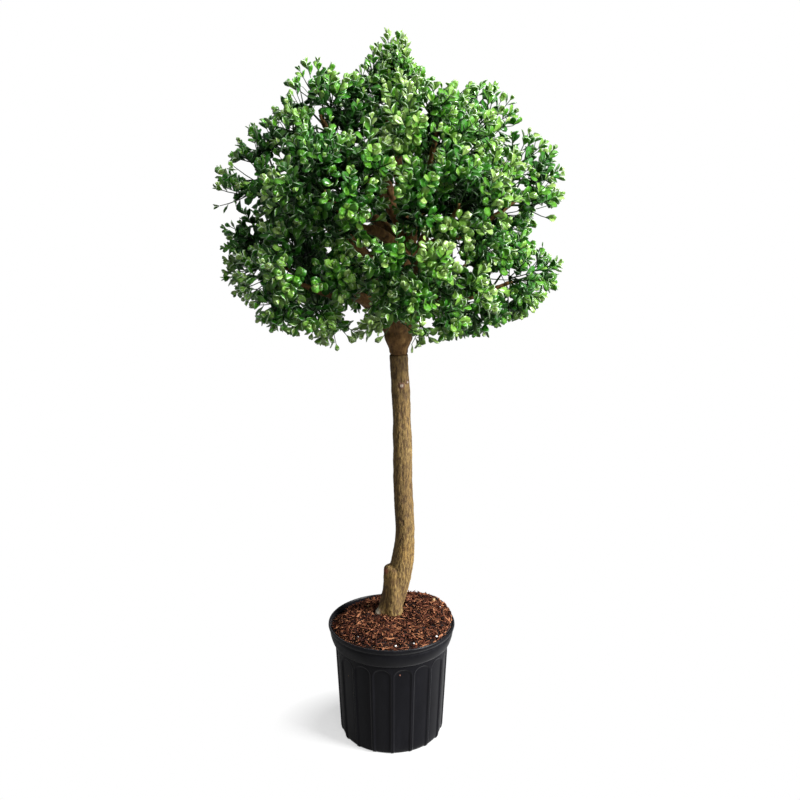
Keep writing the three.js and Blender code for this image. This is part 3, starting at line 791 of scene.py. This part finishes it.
def trunk_at(height):
    """The trunk's middle and radius at a height, on a smooth line through the named places."""
    levels = TRUNK_LINE[:, 2]
    i = int(np.clip(np.searchsorted(levels, height) - 1, 0, len(levels) - 2))
    slopes = np.gradient(TRUNK_LINE, levels, axis=0)
    step = levels[i + 1] - levels[i]
    t = (height - levels[i]) / step
    a, b = TRUNK_LINE[i], TRUNK_LINE[i + 1]
    place = ((2 * t ** 3 - 3 * t ** 2 + 1) * a + (t ** 3 - 2 * t ** 2 + t) * step * slopes[i]
             + (3 * t ** 2 - 2 * t ** 3) * b + (t ** 3 - t ** 2) * step * slopes[i + 1])
    return Vector((place[0], place[1], height)), mix(a[3], b[3], t)


def side_stem(shape, rounding=0.0):
    """A side stem whose last stretch, given as a share of its length, is rounded off."""
    curve = curve_through(Vector(shape["foot"]), Vector(shape["bend"]), Vector(shape["top"]))
    shares = np.concatenate([np.linspace(0, 1 - rounding, 24)[:-1], np.linspace(1 - rounding, 1, 8)])
    radii = []
    for share in shares:
        past = max(0.0, share - 1 + rounding) / max(rounding, 1e-6)
        radii.append(mix(shape["radius"], shape["end_radius"], share) * math.sqrt(1 - 0.9 * past ** 2))
    return tapered_limb([on_curve(curve, s) for s in shares], radii)


def drawn_out(place, across, along):
    """A place for the noise, with as many of its waves per metre across the trunk and along it."""
    return Vector((place.x * across, place.y * across, place.z * along))


def make_trunk(finish):
    middles, radii = zip(*(trunk_at(height) for height in np.linspace(TRUNK_FOOT, TRUNK_TOP, 160)))
    limbs = [tapered_limb(middles, radii, 10), side_stem(STUB, 0.07), side_stem(SHOULDER, 0.07),
             side_stem(ROOT)]
    trunk = grown_together("furrowed_trunk", limbs, 0.0015, 4)
    points = points_of(trunk)
    normals = normals_of(trunk)
    depths = np.zeros(len(points))
    for i, point in enumerate(points):
        place = Vector(point)
        middle, _ = trunk_at(min(max(place.z, TRUNK_FOOT), TRUNK_TOP))
        around = math.atan2(place.y - middle.y, place.x - middle.x)
        rib = 0.55 * math.cos(5 * around + 6 * place.z) + 0.35 * math.cos(9 * around - 11 * place.z)
        furrow = noise.fractal(drawn_out(place, 270, 62), 0.7, 2.1, 3)
        swell = noise.fractal(drawn_out(place, 22, 16), 1.0, 2.0, 2)
        pit = max(0.0, noise.noise(drawn_out(place, 150, 95)) - PIT_FROM)
        relief = (RELIEF["rib"] * rib + RELIEF["furrow"] * furrow + RELIEF["swell"] * swell
                  - RELIEF["pit"] * pit)
        for knot, size in KNOTS:
            apart = (place - Vector(knot)).length / size
            relief += (RELIEF["knot"] * math.exp(-apart ** 2)
                       - RELIEF["knot_ring"] * math.exp(-((apart - 1.7) / 0.5) ** 2))
        # how deep the bark lies here, which darkens its colour as painted shade
        depths[i] = 0.5 - 0.75 * furrow - 0.10 * rib + 1.2 * pit
        edge = min(1.0, (TRUNK_TOP - place.z) / FLAT_END, (place.z - TRUNK_FOOT) / FLAT_END)
        points[i] += normals[i] * relief * max(0.0, edge)
    points[:, 2] = np.clip(points[:, 2], TRUNK_FOOT, TRUNK_TOP)
    move_points(trunk, points)
    furrows = trunk.data.attributes.new("furrow_depth", "FLOAT", "POINT")
    furrows.data.foreach_set("value", depths.astype(np.float32))
    finish_piece(trunk, ["trunk"], finish)


# Fork, leader and boughs

leader_end = Vector((*LEADER_TOP, TIERS[0]["height"] - ENTRY * TIERS[0]["reach"]))
leader = curve_through(Vector((FORK_X, 0, FORK_TOP + CLEARANCE)), LEADER_BEND, leader_end)


def spring_point(height):
    """Middle of the leader at a height, or of the fork below it."""
    return at_height(leader, height) if height > FORK_TOP else Vector((FORK_X, 0, height))


def fork_line():
    """Middles and radii of the fork."""
    return [Vector((FORK_X, 0, height)) for height, _ in FORK_PROFILE], [radius for _, radius in FORK_PROFILE]


def bough_line(mass, count):
    return along_curve(mass["bough"], BOUGHS[mass["tier"]]["radii"], count)


def lay_out_masses():
    masses = []
    for tier in TIERS:
        for i in range(tier["masses"]):
            azimuth = math.radians(tier["first"] + i * tier["step"])
            x = tier["shift"] + tier["ring"] * math.cos(azimuth)
            centre = Vector((x, tier["ring"] * math.sin(azimuth), tier["height"] - tier["tilt"] * x))
            name = f'{tier["name"]}_{i + 1}' if tier["masses"] > 1 else tier["name"]
            masses.append({"tier": tier["name"], "name": name, "index": len(masses), "reach": tier["reach"],
                           "centre": centre, "facing": (centre - HEART).normalized()})
    for mass in masses:
        mass["borders"] = [border_with(mass, other) for other in masses if other is not mass]
        mass["bough"] = bough_curve(mass) if mass["tier"] in BOUGHS else None
    return masses


def border_with(mass, other):
    """The flat border between two masses' spaces: a direction, and how far along it the border lies."""
    way = other["centre"] - mass["centre"]
    apart = way.length
    at = (apart ** 2 + mass["reach"] ** 2 - other["reach"] ** 2) / (2 * apart)
    return way / apart, at - CLEARANCE


def room_from(mass, point, way):
    """How far a mass's space goes from a point in a direction."""
    arm = point - mass["centre"]
    along = arm.dot(way)
    room = math.sqrt(max(0.0, along ** 2 + mass["reach"] ** 2 - arm.length_squared)) - along
    for border_way, at in mass["borders"]:
        closing = way.dot(border_way)
        if closing > 1e-6:
            room = min(room, (at - arm.dot(border_way)) / closing)
    return max(0.0, room)


def seen_on_middle_plane(points):
    """Where the line of sight to each point crosses the plant's middle plane, as x and height."""
    eye_x, eye_y, eye_z = CAMERA_PLACE
    nearer = -eye_y / (points[:, 1] - eye_y)
    return mix(eye_x, points[:, 0], nearer), mix(eye_z, points[:, 2], nearer)


def strew_sky_specks():
    """Small gaps all over the crown and more of them towards its top, by a seeded rule, but none of them in
    front of the leader."""
    random = seeded_numbers(SKY_SPECKS["seed"])
    specks = []
    for _ in range(SKY_SPECKS["count"]):
        height = mix(*SKY_SPECKS["heights"], next(random) ** SKY_SPECKS["power"])
        half = SKY_SPECKS["spread"] * float(np.interp(height, CROWN_OUTLINE[:, 0], CROWN_OUTLINE[:, 2]))
        x = mix(-half, half, next(random))
        radius = mix(*SKY_SPECKS["radii"], next(random))
        if abs(x - FORK_X) > SKY_SPECKS["from_leader"]:
            specks.append((x, height, radius))
    return specks


def within_crown(point, slack):
    """Whether a point lies inside the crown's outline, which is wider or narrower to the left and the right,
    and clear of the gaps that show sky."""
    seen_x, seen_z = seen_on_middle_plane(np.array([point]))
    for x, z, radius in SKY_GAPS:
        if math.hypot(seen_x[0] - x, seen_z[0] - z) < radius:
            return False
    heights, left, right = CROWN_OUTLINE.T
    x, y = point.x - HEART.x, point.y - HEART.y
    share = 0.5 + 0.5 * x / max(1e-6, math.hypot(x, y))
    if not heights[0] < point.z < heights[-1]:
        return False
    limit = mix(np.interp(point.z, heights, left), np.interp(point.z, heights, right), share)
    return math.hypot(x, y) < limit * slack


def bough_curve(mass):
    rule = BOUGHS[mass["tier"]]
    start = spring_point(rule["heights"][mass["index"] % 2])
    end = mass["centre"] + (start - mass["centre"]).normalized() * (ENTRY * mass["reach"])
    middle = (start + end) / 2 + Vector((0, 0, rule["arch"] * (end - start).length))
    return curve_through(start, middle, end)


def make_limbs(masses, finish):
    limbs = [tapered_limb(*fork_line()), tapered_limb(*along_curve(leader, LEADER_RADII, 40))]
    for mass in masses:
        if mass["bough"]:
            limbs.append(tapered_limb(*bough_line(mass, 40)))
        stem, _ = grow_first_twigs(mass)
        limbs.append(tapered_limb(*along_curve(stem, STEM_RADII, 40)))
    piece = grown_together("moulded_limbs", limbs, 0.0023, 4)
    fork_foot = FORK_PROFILE[0][0]
    points = points_of(piece)
    normals = normals_of(piece)
    for i, point in enumerate(points):
        place = Vector(point)
        knots = noise.fractal(place * 75, 0.9, 2.0, 3)
        wrinkle = noise.noise(place * 300)
        edge = min(1.0, (place.z - fork_foot) / FLAT_END)
        relief = LIMB_RELIEF["knots"] * knots + LIMB_RELIEF["wrinkle"] * wrinkle
        points[i] += normals[i] * relief * max(0.0, edge)
    points[:, 2] = np.maximum(points[:, 2], fork_foot)
    groove = 1 - GROOVE["depth"] * np.clip(1 - (points[:, 2] - fork_foot) / GROOVE["height"], 0, 1)
    points[:, 0] = FORK_X + (points[:, 0] - FORK_X) * groove
    points[:, 1] *= groove
    move_points(piece, points)
    nodes = ["fork", "leader"] + [f'bough_{mass["name"]}' for mass in masses if mass["bough"]]
    finish_piece(piece, nodes, finish)


# Growth of a mass: stem and first twigs by the solids' rule, then stalks, shoots and leaves

def stem_start(mass):
    parent = mass["bough"] or leader
    way = way_of(parent, 1)
    return parent[2] + way * STEM_GAP, way


def grow_first_twigs(mass):
    """The stem and twigs of the solids, from the same draws. In the solids each twig's last draw turns its
    leaves, so it is made here too."""
    random = seeded_numbers(FIRST_SEED + mass["index"] * SEED_STEP)
    next(random)
    start, way = stem_start(mass)
    stem_end = mass["centre"] + mass["facing"] * (STEM["length"] * mass["reach"])
    stem = (start, start + way * (STEM["curl"] * (stem_end - start).length), stem_end)
    across, up = square_to(mass["facing"])
    count = round(TWIGS_PER_METRE * mass["reach"])
    phase = 360 * next(random)
    twigs = []
    for i in range(count):
        share = i / (count - 1)
        polar = math.radians(mix(TWIG["first"], TWIG["last"], share) + TWIG["jitter"] * (next(random) - 0.5))
        around = math.radians(phase + i * TURN + 2 * TWIG["jitter"] * (next(random) - 0.5))
        direction = (mass["facing"] * math.cos(polar) + across * math.sin(polar) * math.cos(around)
                     + up * math.sin(polar) * math.sin(around))
        foot = on_curve(stem, mix(0.97, 0.5, share))
        room = room_from(mass, mass["centre"], direction)
        end = mass["centre"] + direction * (TWIG["length"] * room)
        bend = (foot + end) / 2 + way_of(stem, 0.7) * (0.10 * (end - foot).length)
        twigs.append((foot, bend, end))
        next(random)
    return stem, twigs


def grow_shoot(grown, mass, random, foot, way, length, tint, bare):
    """A shoot that bends up a little, with pairs of leaves, each pair a quarter turn from the last."""
    lift = Vector((0, 0, SHOOT["lift"] * length * (0.4 + next(random))))
    end = foot + way * length + lift
    curve = (foot, foot + way * (0.55 * length) - lift * 0.15, end)
    grown["shoot"].append(curve)
    pairs = max(2, round(length * (1 - bare) / INTERNODE))
    phase = 90 * next(random)
    for pair in range(pairs + 1):
        share = mix(bare, 1.0, pair / pairs)
        tangent = way_of(curve, share)
        side_a, side_b = square_to(tangent)
        angle = math.radians(phase + 90 * pair + LEAF_JITTER["turn"] * (next(random) - 0.5))
        side = side_a * math.cos(angle) + side_b * math.sin(angle)
        if pair == pairs:
            lean, size = TIP_LEAN, LEAF_SIZES["tip"]
        else:
            lean = mix(*LEAF_LEAN, share) + LEAF_JITTER["lean"] * (next(random) - 0.5)
            size = mix(LEAF_SIZES["foot"], 1.0, min(1, share * 2.2))
            size *= 1 if share < 0.75 else LEAF_SIZES["near_tip"]
        lean = math.radians(lean)
        for sign in (1, -1):
            direction = tangent * math.cos(lean) + side * (sign * math.sin(lean))
            face = (tangent - direction * tangent.dot(direction)).normalized()
            leaf_length = LEAF_LENGTH * size * mix(*LEAF_JITTER["size"], next(random))
            young = share > YOUNG["from"] and next(random) < YOUNG["share"]
            grown["leaf"].append((on_curve(curve, share), direction, face, leaf_length, tint,
                                  share + YOUNG["paler"] * young, next(random), mass["index"]))


def grow_mass(grown, mass):
    """The mass's twigs, then sprays all round it: each a stalk from the nearest wood, with a fan of shoots at
    its end and a few more along it."""
    random = seeded_numbers(3 * FIRST_SEED + mass["index"] * SEED_STEP)
    next(random)
    stem, twigs = grow_first_twigs(mass)
    grown["twig"] += twigs
    wood = [(on_curve(stem, s), way_of(stem, s)) for s in np.linspace(0.35, 1, 8)]
    for twig in twigs:
        wood += [(on_curve(twig, s), way_of(twig, s)) for s in np.linspace(0.15, 1, 7)]
    leaf_room = 0.5 * LEAF_LENGTH
    count = round(SPRAYS_PER_METRE * mass["reach"])
    phase = 360 * next(random)
    first, last = math.cos(math.radians(SPRAY["first"])), math.cos(math.radians(SPRAY["last"]))
    for k in range(count):
        polar = math.acos(mix(first, last, (k + 0.5) / count)) + SPRAY["jitter"] * (next(random) - 0.5)
        way = fan_out(mass["facing"], polar, math.radians(phase + k * TURN))
        room = room_from(mass, mass["centre"], way)
        tint = next(random)
        if room < SPRAY["least_room"] * mass["reach"]:
            continue
        tip_at = room * SHOOT["reach"] * mix(SPRAY["vigour"], 1, next(random) ** 0.7)
        hub = mass["centre"] + way * max(0.3 * tip_at, tip_at - SPRAY["depth"])
        depth = min(0.7 * tip_at, SPRAY["depth"])
        foot, foot_way = min(wood, key=lambda one: (one[0] - hub).length)
        stalk = (foot, foot + foot_way * (0.35 * (hub - foot).length), hub)
        shoots_before = len(grown["shoot"])
        lift = SPRAY["lift"] * (SPRAY["low_lift"] if mass["tier"] == "lower" else 1)
        lifted = (way + Vector((0, 0, lift))).normalized()
        for shoot in range(SHOOTS_PER_SPRAY):
            fan = SHOOT["middle_fan"]
            if shoot:
                fan = math.radians(SHOOT["fan"] * mix(*SHOOT["fans"], next(random)))
            turned = math.radians(shoot * 360 / (SHOOTS_PER_SPRAY - 1) + SHOOT["turn"] * next(random))
            direction = fan_out(lifted, fan, turned)
            wanted = depth * mix(*SHOOT["lengths"], next(random))
            length = min(wanted, SHOOT["reach"] * room_from(mass, hub, direction) - leaf_room)
            slack = mix(*SLACK, next(random))
            while length > SHOOT["least"] and not within_crown(hub + direction * (length + leaf_room), slack):
                length -= SHOOT["shortened_by"]
            if length > SHOOT["least"]:
                grow_shoot(grown, mass, random, hub, direction, length, tint, SHOOT["bare"])
        for shoot in range(INNER_SHOOTS["count"]):
            base = on_curve(stalk, mix(*INNER_SHOOTS["along"], next(random)))
            direction = fan_out(way, math.radians(INNER_SHOOTS["lean"]), 2 * math.pi * next(random))
            length = min(INNER_SHOOTS["length"], 0.9 * room_from(mass, base, direction) - leaf_room)
            if length > SHOOT["least"] and within_crown(base + direction * length, INNER_SHOOTS["slack"]):
                grow_shoot(grown, mass, random, base, direction, length, tint, INNER_SHOOTS["bare"])
        if len(grown["shoot"]) > shoots_before:
            grown["stalk"].append(stalk)


# Leaves and stalks as joined meshes

def leaf_shape(cup, curl, twist):
    """A spoon-shaped leaf one unit long, its root at the origin, its tip along +X and its upper side up: a
    raised rim round a cupped blade with a midrib, closed underneath. Gives points, faces, and a one for each
    face of the rim."""
    left = [(0.0, 0.025), (0.25, 0.125), (0.52, 0.290), (0.81, 0.292)]
    rim = left + [(1.0, 0.0)] + [(x, -y) for x, y in reversed(left)]
    n = len(rim)
    inner = [(mix(0.58, x, 0.86), y * 0.80) for x, y in rim]

    def lift(x, y):
        spoon = (y / 0.32) ** 2 + 0.55 * (max(0.0, x - 0.5) / 0.5) ** 2
        return cup * spoon + curl * x * x + twist * x * y

    points = [(x, y, lift(x, y) + 0.006) for x, y in rim]
    points += [(x, y, lift(x, y) - 0.016) for x, y in inner]
    points += [(0.34, 0.0, lift(0.34, 0) - 0.030), (0.70, 0.0, lift(0.70, 0) - 0.030)]
    points += [(0.5, 0.0, lift(0.5, 0) - 0.070)]
    faces, rim_faces = [], []
    for i in range(n):
        j = (i + 1) % n
        faces += [(i, n + i, n + j), (i, n + j, j)]
        rim_faces += [1, 1]
    root_rib, tip_rib, keel = 2 * n, 2 * n + 1, 2 * n + 2
    near_root = [(inner[i][0] + inner[(i + 1) % n][0]) / 2 < 0.5 for i in range(n)]
    for i in range(n):
        faces.append((n + i, root_rib if near_root[i] else tip_rib, n + (i + 1) % n))
        rim_faces.append(0)
        if near_root[i - 1] != near_root[i]:
            faces.append((n + i, root_rib, tip_rib) if near_root[i - 1] else (n + i, tip_rib, root_rib))
            rim_faces.append(0)
    for i in range(n):
        faces.append((i, (i + 1) % n, keel))
        rim_faces.append(0)
    return np.array(points), np.array(faces), np.array(rim_faces)


def leaf_tint(leaf, greens):
    """Which of the greens a leaf gets: by its place along the shoot, its spray and its own draw, and by
    painted shade, darker the deeper inside the crown it grew. Sprays at the right, at the top and at the
    middle of the front are paler, as painted light."""
    place, _, _, _, spray, along, own, _ = leaf
    arm = place - CROWN_MIDDLE
    # painted shade: the deeper inside the crown a leaf lies, the darker its green
    outward = min(1.0, Vector([reach / half for reach, half in zip(arm, CROWN_HALVES)]).length)
    # painted light: paler greens towards the right, at the top and at the middle of the front
    right = max(-1.0, min(1.0, arm.x / PAINTED_LIGHT_REACH["right"]))
    top = max(0.0, min(1.0, arm.z / PAINTED_LIGHT_REACH["top"] - 1))
    front = max(0.0, 1 - abs(arm.x) / PAINTED_LIGHT_REACH["front"]) * (arm.y < 0)
    score = (SCORES["outward"] * outward + SCORES["along"] * along + SCORES["spray"] * (spray - 0.5)
             + SCORES["own"] * (own - 0.5) + SCORES["right"] * right + SCORES["top"] * top
             + SCORES["front"] * front)
    return min(greens - 1, sum(score > step for step in SCORE_STEPS))


def clear_of_gaps(places):
    seen_x, seen_z = seen_on_middle_plane(places)
    clear = np.ones(len(places), bool)
    for x, z, radius in SKY_GAPS + strew_sky_specks():
        clear &= np.hypot(seen_x - x, seen_z - z) > radius
    for x, z, radius in BOUGH_WINDOWS:
        clear &= (np.hypot(seen_x - x, seen_z - z) > radius) | (places[:, 1] > 0)
    return clear


def clear_of_limbs_and_gaps(leaves, masses):
    """Leaves whose middles lie inside the leader or a bough, or in a gap that shows sky, are left out."""
    lines = [along_curve(leader, LEADER_RADII, 30), fork_line()]
    lines += [bough_line(mass, 30) for mass in masses if mass["bough"]]
    middles = np.concatenate([points for points, _ in lines])
    radii = np.concatenate([line_radii for _, line_radii in lines])
    centres = np.array([leaf[0] + leaf[1] * (0.6 * leaf[3]) for leaf in leaves])
    keep = np.ones(len(leaves), bool)
    at_once = 2000
    for start in range(0, len(leaves), at_once):
        block = centres[start:start + at_once]
        apart = np.linalg.norm(block[:, None] - middles[None], axis=2) - radii[None]
        keep[start:start + at_once] = apart.min(axis=1) > 0.001
    keep &= clear_of_gaps(centres)
    return [leaf for leaf, clear in zip(leaves, keep) if clear]


def cut_past_last(curves, roots, reach):
    """Curves cut off where the last of the roots sits on them. Those that carry none are left out."""
    tree = KDTree(len(roots))
    for i, root in enumerate(roots):
        tree.insert(root, i)
    tree.balance()
    cut = []
    shares = np.linspace(0.1, 1, 19)
    for curve in curves:
        carrying = [share for share in shares if tree.find(on_curve(curve, share))[2] < reach]
        if carrying:
            start, bend, _ = curve
            last = carrying[-1]
            cut.append((start, mix(start, bend, last), on_curve(curve, last)))
    return cut


def leafy_stalks(grown, leaves):
    """Shoots as far as their last leaves, the stalks that bear these shoots, and the twigs that bear the
    stalks."""
    shoots = cut_past_last(grown["shoot"], [leaf[0] for leaf in leaves], ROOT_REACH["leaf"])
    stalks = cut_past_last(grown["stalk"], [shoot[0] for shoot in shoots], ROOT_REACH["shoot"])
    twigs = cut_past_last(grown["twig"], [stalk[0] for stalk in stalks], ROOT_REACH["stalk"])
    return {"twig": twigs, "stalk": stalks, "shoot": shoots}


def make_leaves(name, leaves, nodes, blades, painted_highlight_rims):
    shapes = [leaf_shape(0.10, -0.04, 0.0), leaf_shape(0.14, -0.09, 0.10), leaf_shape(0.08, 0.03, -0.10),
              leaf_shape(0.12, -0.14, 0.05)]
    parts = []
    for leaf in leaves:
        place, direction, face, length, _, _, own, _ = leaf
        points, faces, rim_faces = shapes[int(own * SHAPE_DRAW) % len(shapes)]
        axes = np.array([direction, face.cross(direction), face]) * length
        # the faces along the rim take the paler rim greens, a painted highlight
        finish = leaf_tint(leaf, len(blades)) + len(blades) * rim_faces
        parts.append((points @ axes + np.array(place), faces, finish))
    finish_piece(joined_piece(name, parts, blades + painted_highlight_rims), nodes)


def tube_arrays(curve, radii, steps, sides):
    """Points and triangles of a tapering tube along a curve, closed at both ends."""
    shares = np.linspace(0, 1, steps + 1)
    points, faces = [], []
    across = square_to(way_of(curve, 0))[0]
    for i, share in enumerate(shares):
        way = way_of(curve, share)
        across = (across - way * across.dot(way)).normalized()
        up = way.cross(across)
        radius = mix(*radii, share)
        for side in range(sides):
            angle = 2 * math.pi * side / sides
            points.append(on_curve(curve, share) + across * (radius * math.cos(angle))
                          + up * (radius * math.sin(angle)))
    for i in range(steps):
        for side in range(sides):
            j = (side + 1) % sides
            low, high = i * sides, (i + 1) * sides
            faces.append((low + side, low + j, high + j))
            faces.append((low + side, high + j, high + side))
    last = steps * sides
    for side in range(1, sides - 1):
        faces.append((0, side + 1, side))
        faces.append((last, last + side, last + side + 1))
    return np.array(points), np.array(faces)


def make_stalks(stalks, finish):
    parts = [(*tube_arrays(curve, **STALKS[kind]), 0) for kind, curves in stalks.items() for curve in curves]
    finish_piece(joined_piece("green_stalks", parts, [finish]))


def make_crown(masses):
    grown = {"twig": [], "stalk": [], "shoot": [], "leaf": []}
    for mass in masses:
        grow_mass(grown, mass)
    leaves = clear_of_limbs_and_gaps(grown["leaf"], masses)
    blades = plain_materials("leaf_green", LEAF_GREENS, 0.36, (0.05, 0.7), (0.15, 0.5))
    # painted highlight: each green is mixed with a pale green for the faces along the leaf's rim
    shares = np.linspace(*RIM_HIGHLIGHT_SHARES, len(LEAF_GREENS))
    rim_highlight_greens = [tuple(mix(part, pale, share) for part, pale in zip(green, RIM_PAINTED_HIGHLIGHT))
                  for green, share in zip(LEAF_GREENS, shares)]
    painted_highlight_rims = plain_materials("leaf_rim_painted_highlight", rim_highlight_greens, 0.26, (0.1, 1.0), (0.2, 0.5))
    groups = [("leaves_upper", ("top", "upper"), None), ("leaves_middle_front", ("middle",), True),
              ("leaves_middle_back", ("middle",), False), ("leaves_lower_front", ("lower",), True),
              ("leaves_lower_back", ("lower",), False)]
    for name, tiers, front in groups:
        chosen = [mass for mass in masses if mass["tier"] in tiers and front in (None, mass["centre"].y < 0)]
        numbers = {mass["index"] for mass in chosen}
        nodes = [f'foliage_{mass["name"]}' for mass in chosen]
        make_leaves(name, [leaf for leaf in leaves if leaf[7] in numbers], nodes, blades, painted_highlight_rims)
    stalk_green = plain_material("dark_green_stalk", (0.012, 0.036, 0.005), 0.5, 0.0, 0.2)
    make_stalks(leafy_stalks(grown, leaves), stalk_green)


# Stage

def make_sweep():
    """A wide pale paper floor. Its glow is only looked at and doesn't light the plant from below."""
    pale, tree, surface = material("pale_paper")
    set_inputs(surface, {"Base Color": (*PAPER, 1), "Roughness": 0.95, "Specular IOR Level": 0.1,
                         "Emission Color": (1, 1, 1, 1), "Emission Strength": FLOOR_GLOW})
    white = add_node(tree, "Emission")
    dull = add_node(tree, "BsdfDiffuse", {"Color": (*BOUNCE, 1)})
    path = add_node(tree, "LightPath")
    near_pot = spot_on(tree, SHADE_MIDDLE, SHADE_REACH)
    looked_at = mix_shaders(tree, near_pot, white.outputs[0], surface.outputs[0])
    paper = mix_shaders(tree, path.outputs["Is Camera Ray"], dull.outputs[0], looked_at)
    tree.links.new(paper, tree.nodes["Material Output"].inputs["Surface"])
    bpy.ops.mesh.primitive_plane_add(size=40, location=(0, 0, 0))
    floor = bpy.context.active_object
    floor.name = floor.data.name = "paper_floor"
    floor.data.materials.append(pale)


def make_light():
    """White studio: a little light from all round, a large key at the upper right, and weaker soft lamps from
    the right side, the front and above."""
    world = bpy.data.worlds.new("white_studio")
    bpy.context.scene.world = world
    world.use_nodes = True
    tree = world.node_tree
    seen = tree.nodes["Background"]
    set_inputs(seen, {"Color": (1, 1, 1, 1), "Strength": 1.0})
    lit = add_node(tree, "Background", {"Color": (1, 1, 1, 1), "Strength": AMBIENT})
    mirrored = add_node(tree, "Background", {"Color": (0.93, 0.97, 1, 1), "Strength": SHEEN})
    path = add_node(tree, "LightPath")
    unseen = mix_shaders(tree, path.outputs["Is Glossy Ray"], lit.outputs[0], mirrored.outputs[0])
    room = mix_shaders(tree, path.outputs["Is Camera Ray"], unseen, seen.outputs[0])
    tree.links.new(room, tree.nodes["World Output"].inputs["Surface"])
    for name, way, width, strength in SUNS:
        light = bpy.data.lights.new(name, "SUN")
        light.angle = math.radians(width)
        light.energy = strength
        lamp = bpy.data.objects.new(name, light)
        lamp.location = Vector(way) * 2
        lamp.rotation_euler = Vector(way).to_track_quat("Z", "Y").to_euler()
        bpy.context.scene.collection.objects.link(lamp)
    bpy.context.scene.view_settings.view_transform = "Standard"


def make_camera():
    camera = bpy.data.cameras.new("photo_view")
    camera.lens = LENS
    camera.sensor_width = 36
    eye = bpy.data.objects.new("photo_view", camera)
    eye.location = CAMERA_PLACE
    eye.rotation_euler = (math.pi / 2 - CAMERA_PITCH, 0, 0)
    bpy.context.scene.collection.objects.link(eye)
    bpy.context.scene.camera = eye


# The whole plant

make_camera()
make_sweep()
make_light()
make_pot(pot_material())
make_bark_bed(bark_bed_material())
make_bark_chips(plain_materials("bark_brown", CHIP_BROWNS, 0.85, (0.0, 0.0), (0.15, 0.15)))
make_specks([plain_material("perlite_white", (0.62, 0.62, 0.60), 0.8),
             plain_material("pale_chip_tan", (0.37, 0.25, 0.12), 0.8),
             plain_material("crumb_brown", (0.20, 0.075, 0.045), 0.8)])
make_potting_mix(bark_bed_material())
make_trunk(trunk_bark_material())
crown_masses = lay_out_masses()
make_limbs(crown_masses, limb_bark_material())
make_crown(crown_masses)
